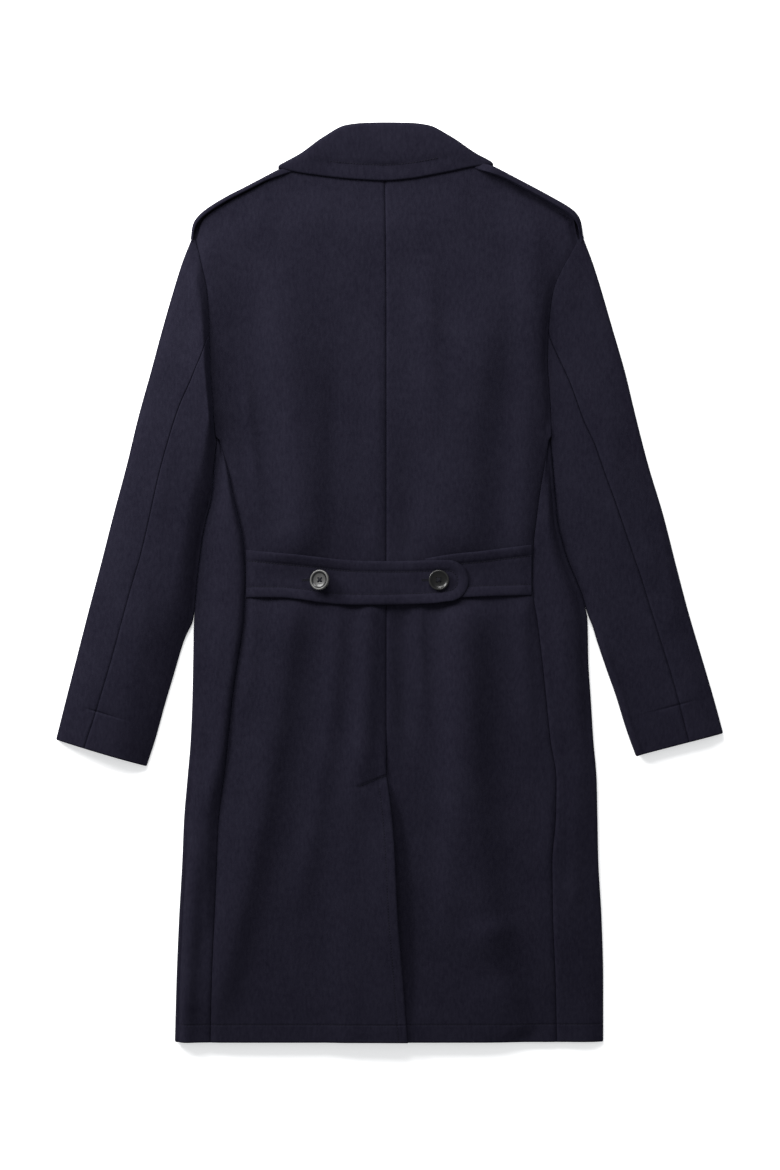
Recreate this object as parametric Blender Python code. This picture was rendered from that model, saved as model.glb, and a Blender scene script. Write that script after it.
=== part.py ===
"""A wool coat laid face down: back halves with a vent, side bodies, fronts, two piece sleeves,
collar, shoulder straps and a buttoned half belt.

The coat lies on the plane z = 0 with its collar towards +Y and its back up. Sizes and tables are in
millimetres, and each mesh is made in metres. From the floor up come the collar ends and the strap
undersides, the fronts, the back, and then the collar leaf, the straps and the half belt on the back.
"""

from collections import namedtuple
import math

import bmesh
import bpy
import numpy as np

MM = 0.001  # metres in a millimetre

# Cloth thickness and the heights of the layers
WALL = 3.0
GAP = 0.3
LAYER = WALL + GAP
BACK_TOP = 3 * WALL + 2 * GAP
BACK_LOW = BACK_TOP - WALL
LEAF_TOP = BACK_TOP + LAYER
ROLL_TOP = 17.0
TIP_ROLL_TOP = 13.3

# Soft rise of the cloth between its seams
BACK_PUFF = 2.5
BACK_PUFF_REACH = 18.0
SIDE_PUFF = 3.0
SIDE_PUFF_WIDTH = (5.0, 29.0)
SLEEVE_ARCH = 7.0
CUFF_ARCH = 4.5

# Where the body's rows of points lie, hem first
BODY_ROWS = (
    -552, -515, -478, -441, -404, -367, -330, -296, -268, -246, -229, -205,
    -175, -141, -107, -75, -48, -21, 3, 27, 51, 75, 99, 117, 135,
)
UNDERARM_Y = 165.0
UNDERARM_SQUEEZE = 1.4
BACK_COLUMNS = np.linspace(0.0, 1.0, 13)
FRONT_COLUMNS = np.array([0.0, 0.24, 0.44, 0.72, 1.0])
LEAF_END_COLUMNS = np.linspace(0.0, 1.0, 4)
SIDE_TOP_COLUMNS = 5
SIDE_LOW_COLUMNS = 3
ARC_STEPS = 5

# Side edges of the body and the long back seams
Body = namedtuple("Body", "y side_left seam_left seam_right side_right")
BODY = (
    Body(171, -208, -204, 191, 194),
    Body(135, -211, -194, 185, 197),
    Body(99, -214, -187, 179, 200),
    Body(75, -220, -181, 176, 202),
    Body(51, -225, -176, 173, 207),
    Body(27, -228, -174, 172, 214),
    Body(3, -231, -173, 171, 224),
    Body(-21, -233, -174, 173, 233),
    Body(-45, -235, -175, 177, 238),
    Body(-93, -236, -182, 183, 239),
    Body(-141, -237, -189, 188, 242),
    Body(-189, -239, -194, 193, 245),
    Body(-237, -243, -199, 200, 249),
    Body(-285, -247, -205, 199, 250),
    Body(-333, -249, -207, 195, 251),
    Body(-405, -253, -210, 196, 255),
    Body(-477, -256, -213, 199, 257),
    Body(-552, -258, -215, 201, 257),
)

# Armhole seams, from the underarm to the shoulder
Armhole = namedtuple("Armhole", "y left right")
ARMHOLE = (
    Armhole(171, -208, 194),
    Armhole(202, -211, 194),
    Armhole(233, -213, 192),
    Armhole(267, -215, 190),
    Armhole(299, -216, 191),
    Armhole(325, -217, 193),
    Armhole(351, -219, 197),
    Armhole(375, -224, 207),
    Armhole(397, -229, 219),
    Armhole(412, -233, 227),
)
BACK_SEAM_Y = 299
FRONT_SEAM_Y = 233

# Upper edge of the back and of the fronts, out from the middle: neck, neck point, shoulder
Edge = namedtuple("Edge", "x y")
NECK_POINT = Edge(82, 518)
SHOULDER_EDGE = (
    Edge(100, 507), Edge(132, 489), Edge(199, 453.5), Edge(220, 439.5), Edge(228, 427), Edge(236, 408),
)
BACK_NECK = (Edge(0, 500), Edge(30, 501.5), Edge(60, 508))
FRONT_EDGE = (
    Edge(22, 329), Edge(0, 368), Edge(-24, 410), Edge(-47, 451), Edge(-66, 490), Edge(-82, 518),
)
YOKE_FLAT = 25.0
YOKE_FADE = 85.0

# Centre back seam and the vent, whose left side lies over
CENTRE_SEAM = (Edge(-10, 482), Edge(-5.5, 399), Edge(-4, 300), Edge(-4, -229))
VENT_TOP = -229.0
VENT_TIP_X = 22.0
UNDERLAP_X = -38.0
UNDERLAP_FULL_Y = -246.0
HEM_Y = -552.0
VENT_LIFT = LAYER + GAP
VENT_RAMP_X = (-80.0, -44.0)
VENT_RAMP_Y = (-226.0, -165.0)

# Fronts rise over the collar ends and the strap undersides
RISE_Y = 400.0
RISE_DROP = 34.0
RISE_DROP_X = (100.0, 170.0)
RISE_LENGTH = 32.0
FRONT_LAP_RAMP_X = (32.0, 62.0)

# Crest lines of the folds on the back, with their half width and height
Fold = namedtuple("Fold", "x_high y_high x_mid y_mid x_low y_low width height")
FOLDS = (
    Fold(-102, 300, -107, 150, -112, 5, 24, 4.5),
    Fold(-52, 240, -47, 135, -47, 5, 14, 2.0),
    Fold(50, 345, 86, 170, 83, 5, 32, 5.0),
    Fold(166, 270, 165, 140, 158, 10, 16, 2.5),
    Fold(-120, 10, -146, -200, -182, -460, 26, 5.0),
    Fold(-61, 10, -69, -140, -82, -290, 18, 2.5),
    Fold(-15, 10, -19, -120, -23, -225, 12, 1.8),
    Fold(88, 10, 89, -230, 125, -530, 32, 5.5),
    Fold(163, 0, 176, -213, 168, -400, 18, 2.5),
)
FOLD_FADE = 0.2

# Sleeve sections, from the armhole to the cuff, with the back seam's share of the width
Sleeve = namedtuple("Sleeve", "outer_x outer_y inner_x inner_y seam")
SLEEVE_LEFT = (
    Sleeve(-238, 412, -209, 171, 0.469),
    Sleeve(-248, 387, -212, 145, 0.46),
    Sleeve(-259, 353, -215, 113, 0.43),
    Sleeve(-273, 305, -220, 82, 0.395),
    Sleeve(-287, 253, -227, 51, 0.375),
    Sleeve(-302, 199, -230, 20, 0.36),
    Sleeve(-316, 141, -234, -9, 0.355),
    Sleeve(-332, 81, -237, -43, 0.355),
    Sleeve(-347, 22, -248, -73, 0.355),
    Sleeve(-362, -35, -259, -110, 0.355),
    Sleeve(-375, -86, -270, -147, 0.35),
    Sleeve(-388, -137, -281, -187, 0.335),
    Sleeve(-401, -189, -292, -221, 0.31),
)
SLEEVE_RIGHT = (
    Sleeve(233, 413, 195, 172, 0.469),
    Sleeve(243, 387, 198, 145, 0.465),
    Sleeve(254, 353, 201, 113, 0.465),
    Sleeve(268, 305, 204, 82, 0.48),
    Sleeve(283, 253, 209, 51, 0.45),
    Sleeve(296, 199, 219, 22, 0.42),
    Sleeve(311, 141, 231, -9, 0.40),
    Sleeve(329, 81, 240, -38, 0.39),
    Sleeve(344, 22, 249, -70, 0.375),
    Sleeve(359, -35, 260, -103, 0.365),
    Sleeve(374, -86, 272, -137, 0.36),
    Sleeve(389, -137, 284, -176, 0.37),
    Sleeve(401, -181, 296, -209, 0.39),
)
CAP_STATIONS = 4
ARCH_STATIONS = 3
CUFF_FRONT_SEAM = 0.74

# Collar sections: where it rolls over and where its leaf ends
Collar = namedtuple("Collar", "x roll_y leaf_y")
COLLAR = (
    Collar(-130, 502, 496),
    Collar(-107, 515, 491.5),
    Collar(-79, 535, 487.5),
    Collar(-52, 549, 484.5),
    Collar(-30, 551.5, 483),
    Collar(-5, 552, 482),
    Collar(25, 551.5, 484.5),
    Collar(46, 549, 488),
    Collar(74, 535, 493.5),
    Collar(104, 515, 499.5),
    Collar(121, 506, 501),
)
COLLAR_MIDDLE_X = -4.5
COLLAR_TIP_RAMP = (80.0, 122.0)
LEAF_STEPS = 5
STAND_STEPS = 2
NECK_CLEAR = 0.4

# Collar ends on the fronts, out from the middle
LeafEnd = namedtuple("LeafEnd", "neck_x neck_y edge_x edge_y")
LEAF_END = (
    LeafEnd(84, 511, 116, 497),
    LeafEnd(70, 484, 104, 470),
    LeafEnd(54, 455, 92, 441),
    LeafEnd(41, 431, 79, 412),
)

# Shoulder straps: the line of the shoulder edge they wrap, and how far they reach on each side
STRAP_LEFT = (
    Edge(-134, 496), Edge(-172, 476), Edge(-199, 462), Edge(-221, 448), Edge(-229, 441), Edge(-235, 433),
    Edge(-237.5, 425), Edge(-238, 418),
)
STRAP_RIGHT = (
    Edge(126, 499), Edge(170, 476), Edge(194, 463), Edge(219, 448), Edge(226, 441), Edge(230, 433),
    Edge(231, 425), Edge(231, 418),
)
STRAP_ACROSS = Edge(0.48, -0.877)
STRAP_BACK_REACH = {"left": 8.0, "right": 12.0}
STRAP_FRONT_REACH = 38.0

# Half belt: edges of the over tab and the under tab, and the rounded tip of the over tab
Tab = namedtuple("Tab", "x top_y low_y")
BELT_LEFT = (
    Tab(-172.5, 37, -17), Tab(-107, 32, -21), Tab(-47, 26, -25), Tab(1, 25, -27), Tab(49, 26.5, -24),
    Tab(70, 27, -21),
)
BELT_RIGHT = (Tab(42, 29, -17), Tab(77, 32, -16), Tab(121, 37, -14), Tab(170.5, 44, -11))
BELT_WALL = 4.0
BELT_CLEAR = 0.5
BELT_LAP_RAMP = (4.0, 34.0)
BELT_STEP = 13.0
BELT_ROWS = 5
TIP_STEPS = 6
TIP_LAST_ANGLE = 80.0

# Buttons: a turned disc with a rim, a dish and four holes
BUTTON_RADIUS = 12.0
BUTTON_HEIGHT = 4.0
BUTTON_EDGE = 0.8
BUTTON_RIM = 1.6
BUTTON_DISH = 1.2
HOLE_RADIUS = 1.0
HOLE_SPREAD = 2.3
BUTTON_SEGMENTS = 24
HOLE_SEGMENTS = 8
Button = namedtuple("Button", "name x y tilt colour roughness")
BUTTONS = (
    Button("button_left", -83, 3, -18, (0.11, 0.11, 0.125), 0.3),
    Button("button_right", 59, 3, 0, (0.02, 0.02, 0.026), 0.22),
)

CLOTH_COLOUR = (0.014, 0.014, 0.022)
CLOTH_ROUGHNESS = 0.92
SMOOTH_ANGLE = 40.0


def smoothstep(low, high, value):
    """A soft ramp from 0 at low to 1 at high."""
    share = np.clip((value - low) / (high - low), 0.0, 1.0)
    return share * share * (3 - 2 * share)


def smooth_line(places, values):
    """A function that runs smoothly through the values at the given places and never overshoots."""
    order = np.argsort(places)
    place = np.asarray(places, float)[order]
    value = np.asarray(values, float)[order]
    step = np.diff(place)
    slope = np.diff(value) / step
    product = slope[1:] * slope[:-1]
    total = slope[1:] + slope[:-1]
    turning = (product <= 0) | (total == 0)
    inside = np.where(turning, 0.0, 2 * product / np.where(turning, 1.0, total))
    lean = np.concatenate([slope[:1], inside, slope[-1:]])

    def at(where):
        where = np.clip(where, place[0], place[-1])
        i = np.clip(np.searchsorted(place, where) - 1, 0, len(step) - 1)
        t = (where - place[i]) / step[i]
        start = value[i] * (1 + 2 * t) * (1 - t) ** 2 + lean[i] * step[i] * t * (1 - t) ** 2
        end = value[i + 1] * t * t * (3 - 2 * t) + lean[i + 1] * step[i] * t * t * (t - 1)
        return start + end

    return at


def column(rows, place, value):
    """A smooth line through one named column of a table."""
    return smooth_line([getattr(row, place) for row in rows], [getattr(row, value) for row in rows])


SIDE_EDGE = {side: column(BODY, "y", f"side_{side}") for side in ("left", "right")}
LONG_SEAM = {side: column(BODY, "y", f"seam_{side}") for side in ("left", "right")}
ARM_SEAM = {side: column(ARMHOLE, "y", side) for side in ("left", "right")}
OUTWARD = {"left": -1.0, "right": 1.0}
NECK_AND_SHOULDER = column(BACK_NECK + (NECK_POINT,) + SHOULDER_EDGE, "x", "y")
CENTRE_X = column(CENTRE_SEAM, "y", "x")
FRONT_EDGE_X = column(FRONT_EDGE, "y", "x")
FOLD_CRESTS = [
    smooth_line((fold.y_low, fold.y_mid, fold.y_high), (fold.x_low, fold.x_mid, fold.x_high))
    for fold in FOLDS
]


def body_seam(side, y):
    """X of the edge where the back and the front end: the long seam, then the armhole."""
    return np.where(y > ARMHOLE[0].y, ARM_SEAM[side](y), LONG_SEAM[side](y))


def back_height(x, y):
    """Height of the back's outer face: flat at the neck and shoulders, puffed between its seams, folded."""
    away_left = np.maximum(x - body_seam("left", y), 0.0)
    away_right = np.maximum(body_seam("right", y) - x, 0.0)
    away = np.minimum(away_left, away_right)
    rise = BACK_PUFF * (1 - np.exp(-((away / BACK_PUFF_REACH) ** 2)))
    for fold, crest in zip(FOLDS, FOLD_CRESTS):
        fade = FOLD_FADE * (fold.y_high - fold.y_low)
        low_end = smoothstep(fold.y_low, fold.y_low + fade, y)
        high_end = 1 - smoothstep(fold.y_high - fade, fold.y_high, y)
        across = np.exp(-(((x - crest(y)) / fold.width) ** 2))
        rise = rise + fold.height * low_end * high_end * across
    below_edge = NECK_AND_SHOULDER(np.abs(x)) - y
    return BACK_TOP + rise * smoothstep(YOKE_FLAT, YOKE_FADE, below_edge)


def front_share(x, y):
    """How far the front has risen, from 0 on the floor to 1 on top of the collar ends and straps."""
    full = RISE_Y - RISE_DROP * smoothstep(*RISE_DROP_X, np.abs(x))
    return smoothstep(full - RISE_LENGTH, full, y)


def principled(name, colour, roughness):
    """A plain material of one colour."""
    material = bpy.data.materials.new(name)
    material.use_nodes = True
    shader = material.node_tree.nodes["Principled BSDF"]
    shader.inputs["Base Color"].default_value = (*colour, 1.0)
    shader.inputs["Roughness"].default_value = roughness
    material.diffuse_color = (*colour, 1.0)
    return material


def finish(name, bm, colour=CLOTH_COLOUR, roughness=CLOTH_ROUGHNESS):
    """Turn a bmesh into a named object with outward faces and its own material."""
    bmesh.ops.recalc_face_normals(bm, faces=bm.faces)
    mesh = bpy.data.meshes.new(name)
    bm.to_mesh(mesh)
    bm.free()
    mesh.shade_smooth()
    mesh.set_sharp_from_angle(angle=math.radians(SMOOTH_ANGLE))
    mesh.materials.append(principled(name, colour, roughness))
    piece = bpy.data.objects.new(name, mesh)
    bpy.context.scene.collection.objects.link(piece)
    return piece


def wall(name, outer, inner):
    """One closed piece of cloth between two grids of points, rows by columns, with its rim filled."""
    rows, columns = outer.shape[:2]
    points = np.concatenate([outer.reshape(-1, 3), inner.reshape(-1, 3)]) * MM
    grid = np.arange(rows * columns).reshape(rows, columns)
    skin = np.stack([grid[:-1, :-1], grid[:-1, 1:], grid[1:, 1:], grid[1:, :-1]], axis=-1).reshape(-1, 4)
    border = np.concatenate([grid[0, :-1], grid[:-1, -1], grid[-1, :0:-1], grid[:0:-1, 0]])
    following = np.roll(border, -1)
    inside = rows * columns
    rim = np.stack([following, border, border + inside, following + inside], axis=-1)
    bm = bmesh.new()
    corners = [bm.verts.new(point) for point in points]
    for face in np.concatenate([skin, skin[:, ::-1] + inside, rim]):
        bm.faces.new([corners[i] for i in face])
    return finish(name, bm)


def sheet(name, x, y, top, thickness=WALL):
    """A wall that lies flat or folded: its upper face at the given heights, its lower face straight below."""
    wall(name, np.stack([x, y, top], axis=-1), np.stack([x, y, top - thickness], axis=-1))


def edge_turn(radius, middle):
    """Points of a wall that turns round an edge, top to bottom: distances in from the edge, and heights."""
    angle = np.linspace(math.pi / 2, -math.pi / 2, ARC_STEPS + 1)[1:-1]
    return [(radius - r * np.cos(angle), middle + r * np.sin(angle)) for r in (radius, radius - WALL)]


def turned_section(upper, upper_z, lower, lower_z, radius):
    """Outer and inner points of a section along its top, round an edge and back along its bottom.

    Each point is a distance in from the edge and a height.
    """
    (outer_turn, outer_z), (inner_turn, inner_z) = edge_turn(radius, upper_z[-1] - radius)
    outer = np.concatenate([upper, outer_turn, lower]), np.concatenate([upper_z, outer_z, lower_z])
    inner_heights = np.concatenate([upper_z - WALL, inner_z, lower_z + WALL])
    return outer, (np.concatenate([upper, inner_turn, lower]), inner_heights)


def panel_rows():
    """Heights of the rows at a panel's outer edge, and how much each row bends up to the shoulder."""
    armhole = np.array([row.y for row in ARMHOLE], float)
    heights = np.concatenate([np.array(BODY_ROWS, float), armhole])
    bend = np.concatenate([np.zeros(len(BODY_ROWS)), ((armhole - armhole[0]) / np.ptp(armhole)) ** 2])
    return heights, bend


def panel_grid(side, inner_x, edge_line, columns):
    """Rows of points from the middle to the outer seam, bending up to the neck and shoulder edge."""
    heights, bend = panel_rows()
    shoulder_y = heights[-1]
    outer_x = body_seam(side, heights) - OUTWARD[side] * GAP / 2
    x = inner_x[:, None] + (outer_x - inner_x)[:, None] * columns[None, :]
    y = heights[:, None] + bend[:, None] * (edge_line(np.abs(x)) - shoulder_y)
    y[:, -1] = heights
    return x, y


def back_grid(side):
    """Plan of half of the back, from the centre seam and the vent to the long seam, armhole and neck."""
    heights = panel_rows()[0]
    below = np.clip((VENT_TOP - heights) / (VENT_TOP - HEM_Y), 0.0, 1.0)
    seam_x = CENTRE_X(heights)
    if side == "left":
        inner_x = seam_x - GAP / 2 + below * (VENT_TIP_X - seam_x)
    else:
        inner_x = np.where(heights < UNDERLAP_FULL_Y + GAP, UNDERLAP_X, seam_x + GAP / 2)
    return panel_grid(side, inner_x, NECK_AND_SHOULDER, BACK_COLUMNS)


def back_half(side):
    """Half of the back, its left side lying over the right one at the vent."""
    x, y = back_grid(side)
    top = back_height(x, y)
    if side == "left":
        top = top + VENT_LIFT * smoothstep(*VENT_RAMP_X, x) * (1 - smoothstep(*VENT_RAMP_Y, y))
    sheet(f"back_{side}", x, y, top)


def front_half(side):
    """Half of the front: the left one lies on the floor, the right one rises over it at the middle."""
    heights, bend = panel_rows()
    inner_y = heights + bend * (NECK_POINT.y - heights[-1])
    inner_x = -OUTWARD[side] * FRONT_EDGE_X(inner_y)

    def shoulder(x):
        return NECK_AND_SHOULDER(np.maximum(x, NECK_POINT.x))

    x, y = panel_grid(side, inner_x, shoulder, FRONT_COLUMNS)
    share = front_share(x, y)
    if side == "right":
        share = 1 - (1 - share) * smoothstep(*FRONT_LAP_RAMP_X, x)
    sheet(f"front_{side}", x, y, LAYER * share + WALL)


def side_body(side):
    """The side of the body: from the long back seam out to the edge, round it, and to the front seam."""
    y = np.array(BODY_ROWS + (UNDERARM_Y,), float)
    edge_x = SIDE_EDGE[side](y)
    heights = panel_rows()[0]
    width = np.abs(edge_x - np.interp(y, heights, body_seam(side, heights))) - GAP / 2
    squeeze = UNDERARM_SQUEEZE * smoothstep(BODY_ROWS[-1], UNDERARM_Y, y)
    rows = []
    for i in range(len(y)):
        top = BACK_TOP - squeeze[i]
        low = squeeze[i]
        radius = (top - low) / 2
        share = np.linspace(1.0, 0.0, SIDE_TOP_COLUMNS)
        reach = radius + (width[i] - radius) * share
        puff = SIDE_PUFF * np.sin(math.pi * share) * smoothstep(*SIDE_PUFF_WIDTH, width[i])
        under = np.linspace(radius, width[i], SIDE_LOW_COLUMNS)
        section = turned_section(reach, top + puff, under, np.full(SIDE_LOW_COLUMNS, low), radius)
        rows.append([(edge_x[i] - OUTWARD[side] * s, np.full(len(s), y[i]), z) for s, z in section])
    grids = np.array(rows).transpose(1, 0, 3, 2)
    wall(f"side_{side}", grids[0], grids[1])


def edge_normals(points, away_from):
    """Unit directions square to a line of points, turned away from another line."""
    along = np.gradient(points, axis=0)
    across = np.stack([along[:, 1], -along[:, 0]], axis=-1)
    across /= np.linalg.norm(across, axis=1, keepdims=True)
    facing = np.sign(np.sum(across * (points - away_from), axis=1, keepdims=True))
    return across * facing


def sleeve(side, table):
    """Both pieces of a sleeve: the upper one turns round the outer edge, the under one round the inner."""
    outer = np.array([(row.outer_x, row.outer_y) for row in table], float)
    inner = np.array([(row.inner_x, row.inner_y) for row in table], float)
    seam = np.array([row.seam for row in table])
    station = np.arange(len(table))
    radius = (BACK_TOP - LAYER * front_share(outer[:, 0], outer[:, 1])) / 2
    inner_radius = np.full(len(table), BACK_TOP / 2)
    outer_away = edge_normals(outer, inner)
    inner_away = edge_normals(inner, outer)
    start = outer - radius[:, None] * outer_away
    end = inner - inner_radius[:, None] * inner_away
    seam_side = OUTWARD[side] * GAP / 2
    cap = np.array([(getattr(row, side) + seam_side, row.y) for row in reversed(ARMHOLE)], float)
    cap_share = (cap[0, 1] - cap[:, 1]) / np.ptp(cap[:, 1])
    straight = start[0] + (end[0] - start[0]) * cap_share[:, None]
    bulge = cap - straight
    bulge_fade = 1 - smoothstep(0, CAP_STATIONS, station)
    arch = SLEEVE_ARCH + (CUFF_ARCH - SLEEVE_ARCH) * smoothstep(len(table) // 2, len(table) - 1, station)
    arch = arch * smoothstep(0, ARCH_STATIONS, station)
    width = np.linalg.norm(end - start, axis=1)

    def across(i, share):
        """Plan points of section i at shares of its width, bulging like the armhole near it."""
        plain = start[i] + (end[i] - start[i]) * share[:, None]
        pushed = [np.interp(share, cap_share, bulge[:, axis]) for axis in (0, 1)]
        return plain + bulge_fade[i] * np.stack(pushed, axis=-1)

    def strip(i, first, last, seam_share, high):
        """Points of the upper or lower layer of section i between two of the armhole's rows."""
        shares = cap_share[first:last + 1]
        low_share, high_share = (0.0, seam_share) if first == 0 else (seam_share, 1.0)
        shares = low_share + (shares - shares[0]) / (shares[-1] - shares[0]) * (high_share - low_share)
        gap = GAP / 2 / width[i]
        limits = (seam_share + gap, None) if first else (None, seam_share - gap)
        shares = np.clip(shares, *limits)
        plan = across(i, shares)
        floor = LAYER * front_share(plan[:, 0], plan[:, 1])
        top = BACK_TOP + arch[i] * np.sin(math.pi * shares)
        out_z, in_z = (top, top - WALL) if high else (floor, floor + WALL)
        return np.column_stack([plan, out_z]), np.column_stack([plan, in_z])

    def turn(i, edge, away, turn_radius):
        """Points of section i round the outer or inner edge."""
        middle = BACK_TOP - turn_radius
        return [np.column_stack([edge - away * s[:, None], z]) for s, z in edge_turn(turn_radius, middle)]

    back_index = [row.y for row in reversed(ARMHOLE)].index(BACK_SEAM_Y)
    front_index = [row.y for row in reversed(ARMHOLE)].index(FRONT_SEAM_Y)
    last = len(ARMHOLE) - 1
    upper = []
    under = []
    for i in station:
        front_seam = cap_share[front_index] + (CUFF_FRONT_SEAM - cap_share[front_index]) * i / station[-1]
        high_upper = strip(i, 0, back_index, seam[i], True)
        low_upper = strip(i, 0, front_index, front_seam, False)
        high_under = strip(i, back_index, last, seam[i], True)
        low_under = strip(i, front_index, last, front_seam, False)
        outer_turn = turn(i, outer[i], outer_away[i], radius[i])
        inner_turn = turn(i, inner[i], inner_away[i], inner_radius[i])
        upper.append([np.concatenate([h[::-1], t, w]) for h, t, w in zip(high_upper, outer_turn, low_upper)])
        under.append([np.concatenate([h, t, w[::-1]]) for h, t, w in zip(high_under, inner_turn, low_under)])
    for name, rows in (("upper", upper), ("under", under)):
        grids = np.array(rows).transpose(1, 0, 2, 3)
        wall(f"sleeve_{name}_{side}", grids[0], grids[1])


def collar():
    """Back part of the collar: the leaf on the back, the roll at the top, and the stand down to the neck."""
    roll_line = column(COLLAR, "x", "roll_y")
    leaf_line = column(COLLAR, "x", "leaf_y")
    left_neck = np.stack(back_grid("left"))[:, -1, ::-1]
    right_neck = np.stack(back_grid("right"))[:, -1, 1:]
    neck = np.concatenate([left_neck, right_neck], axis=1)
    first, last = COLLAR[0].x, COLLAR[-1].x
    inside = neck[0][(neck[0] > first) & (neck[0] < last)]
    marks = np.concatenate([[first], inside, [last]])
    sections = []
    for x in np.interp(np.arange(0, len(marks) - 0.5, 0.5), np.arange(len(marks)), marks):
        tip = smoothstep(*COLLAR_TIP_RAMP, abs(x - COLLAR_MIDDLE_X))
        roll_top = ROLL_TOP + (TIP_ROLL_TOP - ROLL_TOP) * tip
        radius = (roll_top - BACK_LOW) / 2
        roll_y = roll_line(x)
        share = np.linspace(0.0, 1.0, LEAF_STEPS + 1)
        leaf_s = (roll_y - leaf_line(x)) * (1 - share) + radius * share
        leaf_z = LEAF_TOP + (roll_top - LEAF_TOP) * smoothstep(0, 1, share)
        stand_s = np.linspace(radius, roll_y - np.interp(x, *neck) - NECK_CLEAR, STAND_STEPS + 1)
        section = turned_section(leaf_s, leaf_z, stand_s, np.full(STAND_STEPS + 1, BACK_LOW), radius)
        sections.append([(np.full(len(s), x), roll_y - s, z) for s, z in section])
    grids = np.array(sections).transpose(1, 0, 3, 2)
    wall("collar", grids[0], grids[1])


def collar_end(side):
    """The end of the collar leaf that lies on the front, beside the neck."""
    neck = np.array([(OUTWARD[side] * row.neck_x, row.neck_y) for row in LEAF_END], float)
    edge = np.array([(OUTWARD[side] * row.edge_x, row.edge_y) for row in LEAF_END], float)
    plan = neck[:, None, :] + (edge - neck)[:, None, :] * LEAF_END_COLUMNS[None, :, None]
    sheet(f"collar_front_{side}", plan[..., 0], plan[..., 1], np.full(plan.shape[:2], WALL))


def strap(side, line):
    """A shoulder strap: a narrow part on the back, round the shoulder edge, and its width on the front."""
    radius = LEAF_TOP / 2
    across = np.array([-OUTWARD[side] * STRAP_ACROSS.x, STRAP_ACROSS.y])
    back = np.linspace(STRAP_BACK_REACH[side], radius, 2)
    front = np.linspace(radius, STRAP_FRONT_REACH, 3)
    section = turned_section(back, np.full(len(back), LEAF_TOP), front, np.zeros(len(front)), radius)
    grids = []
    for reach, height in section:
        rows = [np.column_stack([np.array(point) + reach[:, None] * across, height]) for point in line]
        grids.append(np.array(rows))
    wall(f"strap_{side}", grids[0], grids[1])


def belt_top(side, x, y):
    """Height of the half belt's outer face: the back's, moved out, and over the under tab where they lap."""
    top = back_height(x, y) + BELT_CLEAR + BELT_WALL
    if side == "left":
        top = top + (BELT_CLEAR + BELT_WALL) * smoothstep(*BELT_LAP_RAMP, x)
    return top


def belt_tab(side, table):
    """One tab of the half belt, with a rounded tip on the one that lies over."""
    first, last = table[0], table[-1]
    x = np.linspace(first.x, last.x, 1 + round((last.x - first.x) / BELT_STEP))
    top_y = column(table, "x", "top_y")(x)
    low_y = column(table, "x", "low_y")(x)
    if side == "left":
        angle = np.radians(np.linspace(0, TIP_LAST_ANGLE, TIP_STEPS + 1))[1:]
        half = (last.top_y - last.low_y) / 2
        middle = (last.top_y + last.low_y) / 2
        x = np.concatenate([x, last.x + half * np.sin(angle)])
        top_y = np.concatenate([top_y, middle + half * np.cos(angle)])
        low_y = np.concatenate([low_y, middle - half * np.cos(angle)])
    share = np.linspace(0.0, 1.0, BELT_ROWS)[None, :]
    y = low_y[:, None] + (top_y - low_y)[:, None] * share
    x = np.repeat(x[:, None], BELT_ROWS, axis=1)
    sheet(f"belt_{side}", x, y, belt_top(side, x, y), BELT_WALL)


def button(spec):
    """A turned button with a rounded edge, a rim, a dish and four holes, on the half belt."""
    profile = [
        (BUTTON_RADIUS - BUTTON_EDGE, 0), (BUTTON_RADIUS, BUTTON_EDGE),
        (BUTTON_RADIUS, BUTTON_HEIGHT - BUTTON_EDGE), (BUTTON_RADIUS - BUTTON_EDGE, BUTTON_HEIGHT),
        (BUTTON_RADIUS - BUTTON_EDGE - BUTTON_RIM, BUTTON_HEIGHT),
        (BUTTON_RADIUS - BUTTON_EDGE - 2 * BUTTON_RIM, BUTTON_HEIGHT - BUTTON_DISH),
    ]
    bm = bmesh.new()
    line = [bm.verts.new((radius * MM, 0, height * MM)) for radius, height in profile]
    edges = [bm.edges.new(pair) for pair in zip(line, line[1:])]
    bmesh.ops.spin(
        bm, geom=line + edges, cent=(0, 0, 0), axis=(0, 0, 1), angle=math.tau,
        steps=BUTTON_SEGMENTS, use_merge=True,
    )
    bmesh.ops.holes_fill(bm, edges=[edge for edge in bm.edges if edge.is_boundary])
    disc = finish(spec.name, bm, spec.colour, spec.roughness)
    angle = np.linspace(0, math.tau, BUTTON_SEGMENTS)
    under_x = spec.x + BUTTON_RADIUS * np.cos(angle)
    under_y = spec.y + BUTTON_RADIUS * np.sin(angle)
    tilt = math.radians(spec.tilt)
    seat = belt_top("left", under_x, under_y).max() + GAP + BUTTON_RADIUS * abs(math.sin(tilt))
    disc.location = (spec.x * MM, spec.y * MM, seat * MM)
    disc.rotation_euler = (0, tilt, 0)
    for i in range(4):
        turn = math.tau * (i + 0.5) / 4
        bpy.ops.mesh.primitive_cylinder_add(
            vertices=HOLE_SEGMENTS, radius=HOLE_RADIUS * MM, depth=3 * BUTTON_HEIGHT * MM,
            location=(HOLE_SPREAD * math.cos(turn) * MM, HOLE_SPREAD * math.sin(turn) * MM, 0),
        )
        cutter = bpy.context.object
        cutter.name = f"{spec.name}_hole_cutter_{i}"
        cutter.parent = disc
        cutter.hide_render = True
        cutter.display_type = "WIRE"
        hole = disc.modifiers.new(f"hole {i}", "BOOLEAN")
        hole.operation = "DIFFERENCE"
        hole.object = cutter


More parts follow.
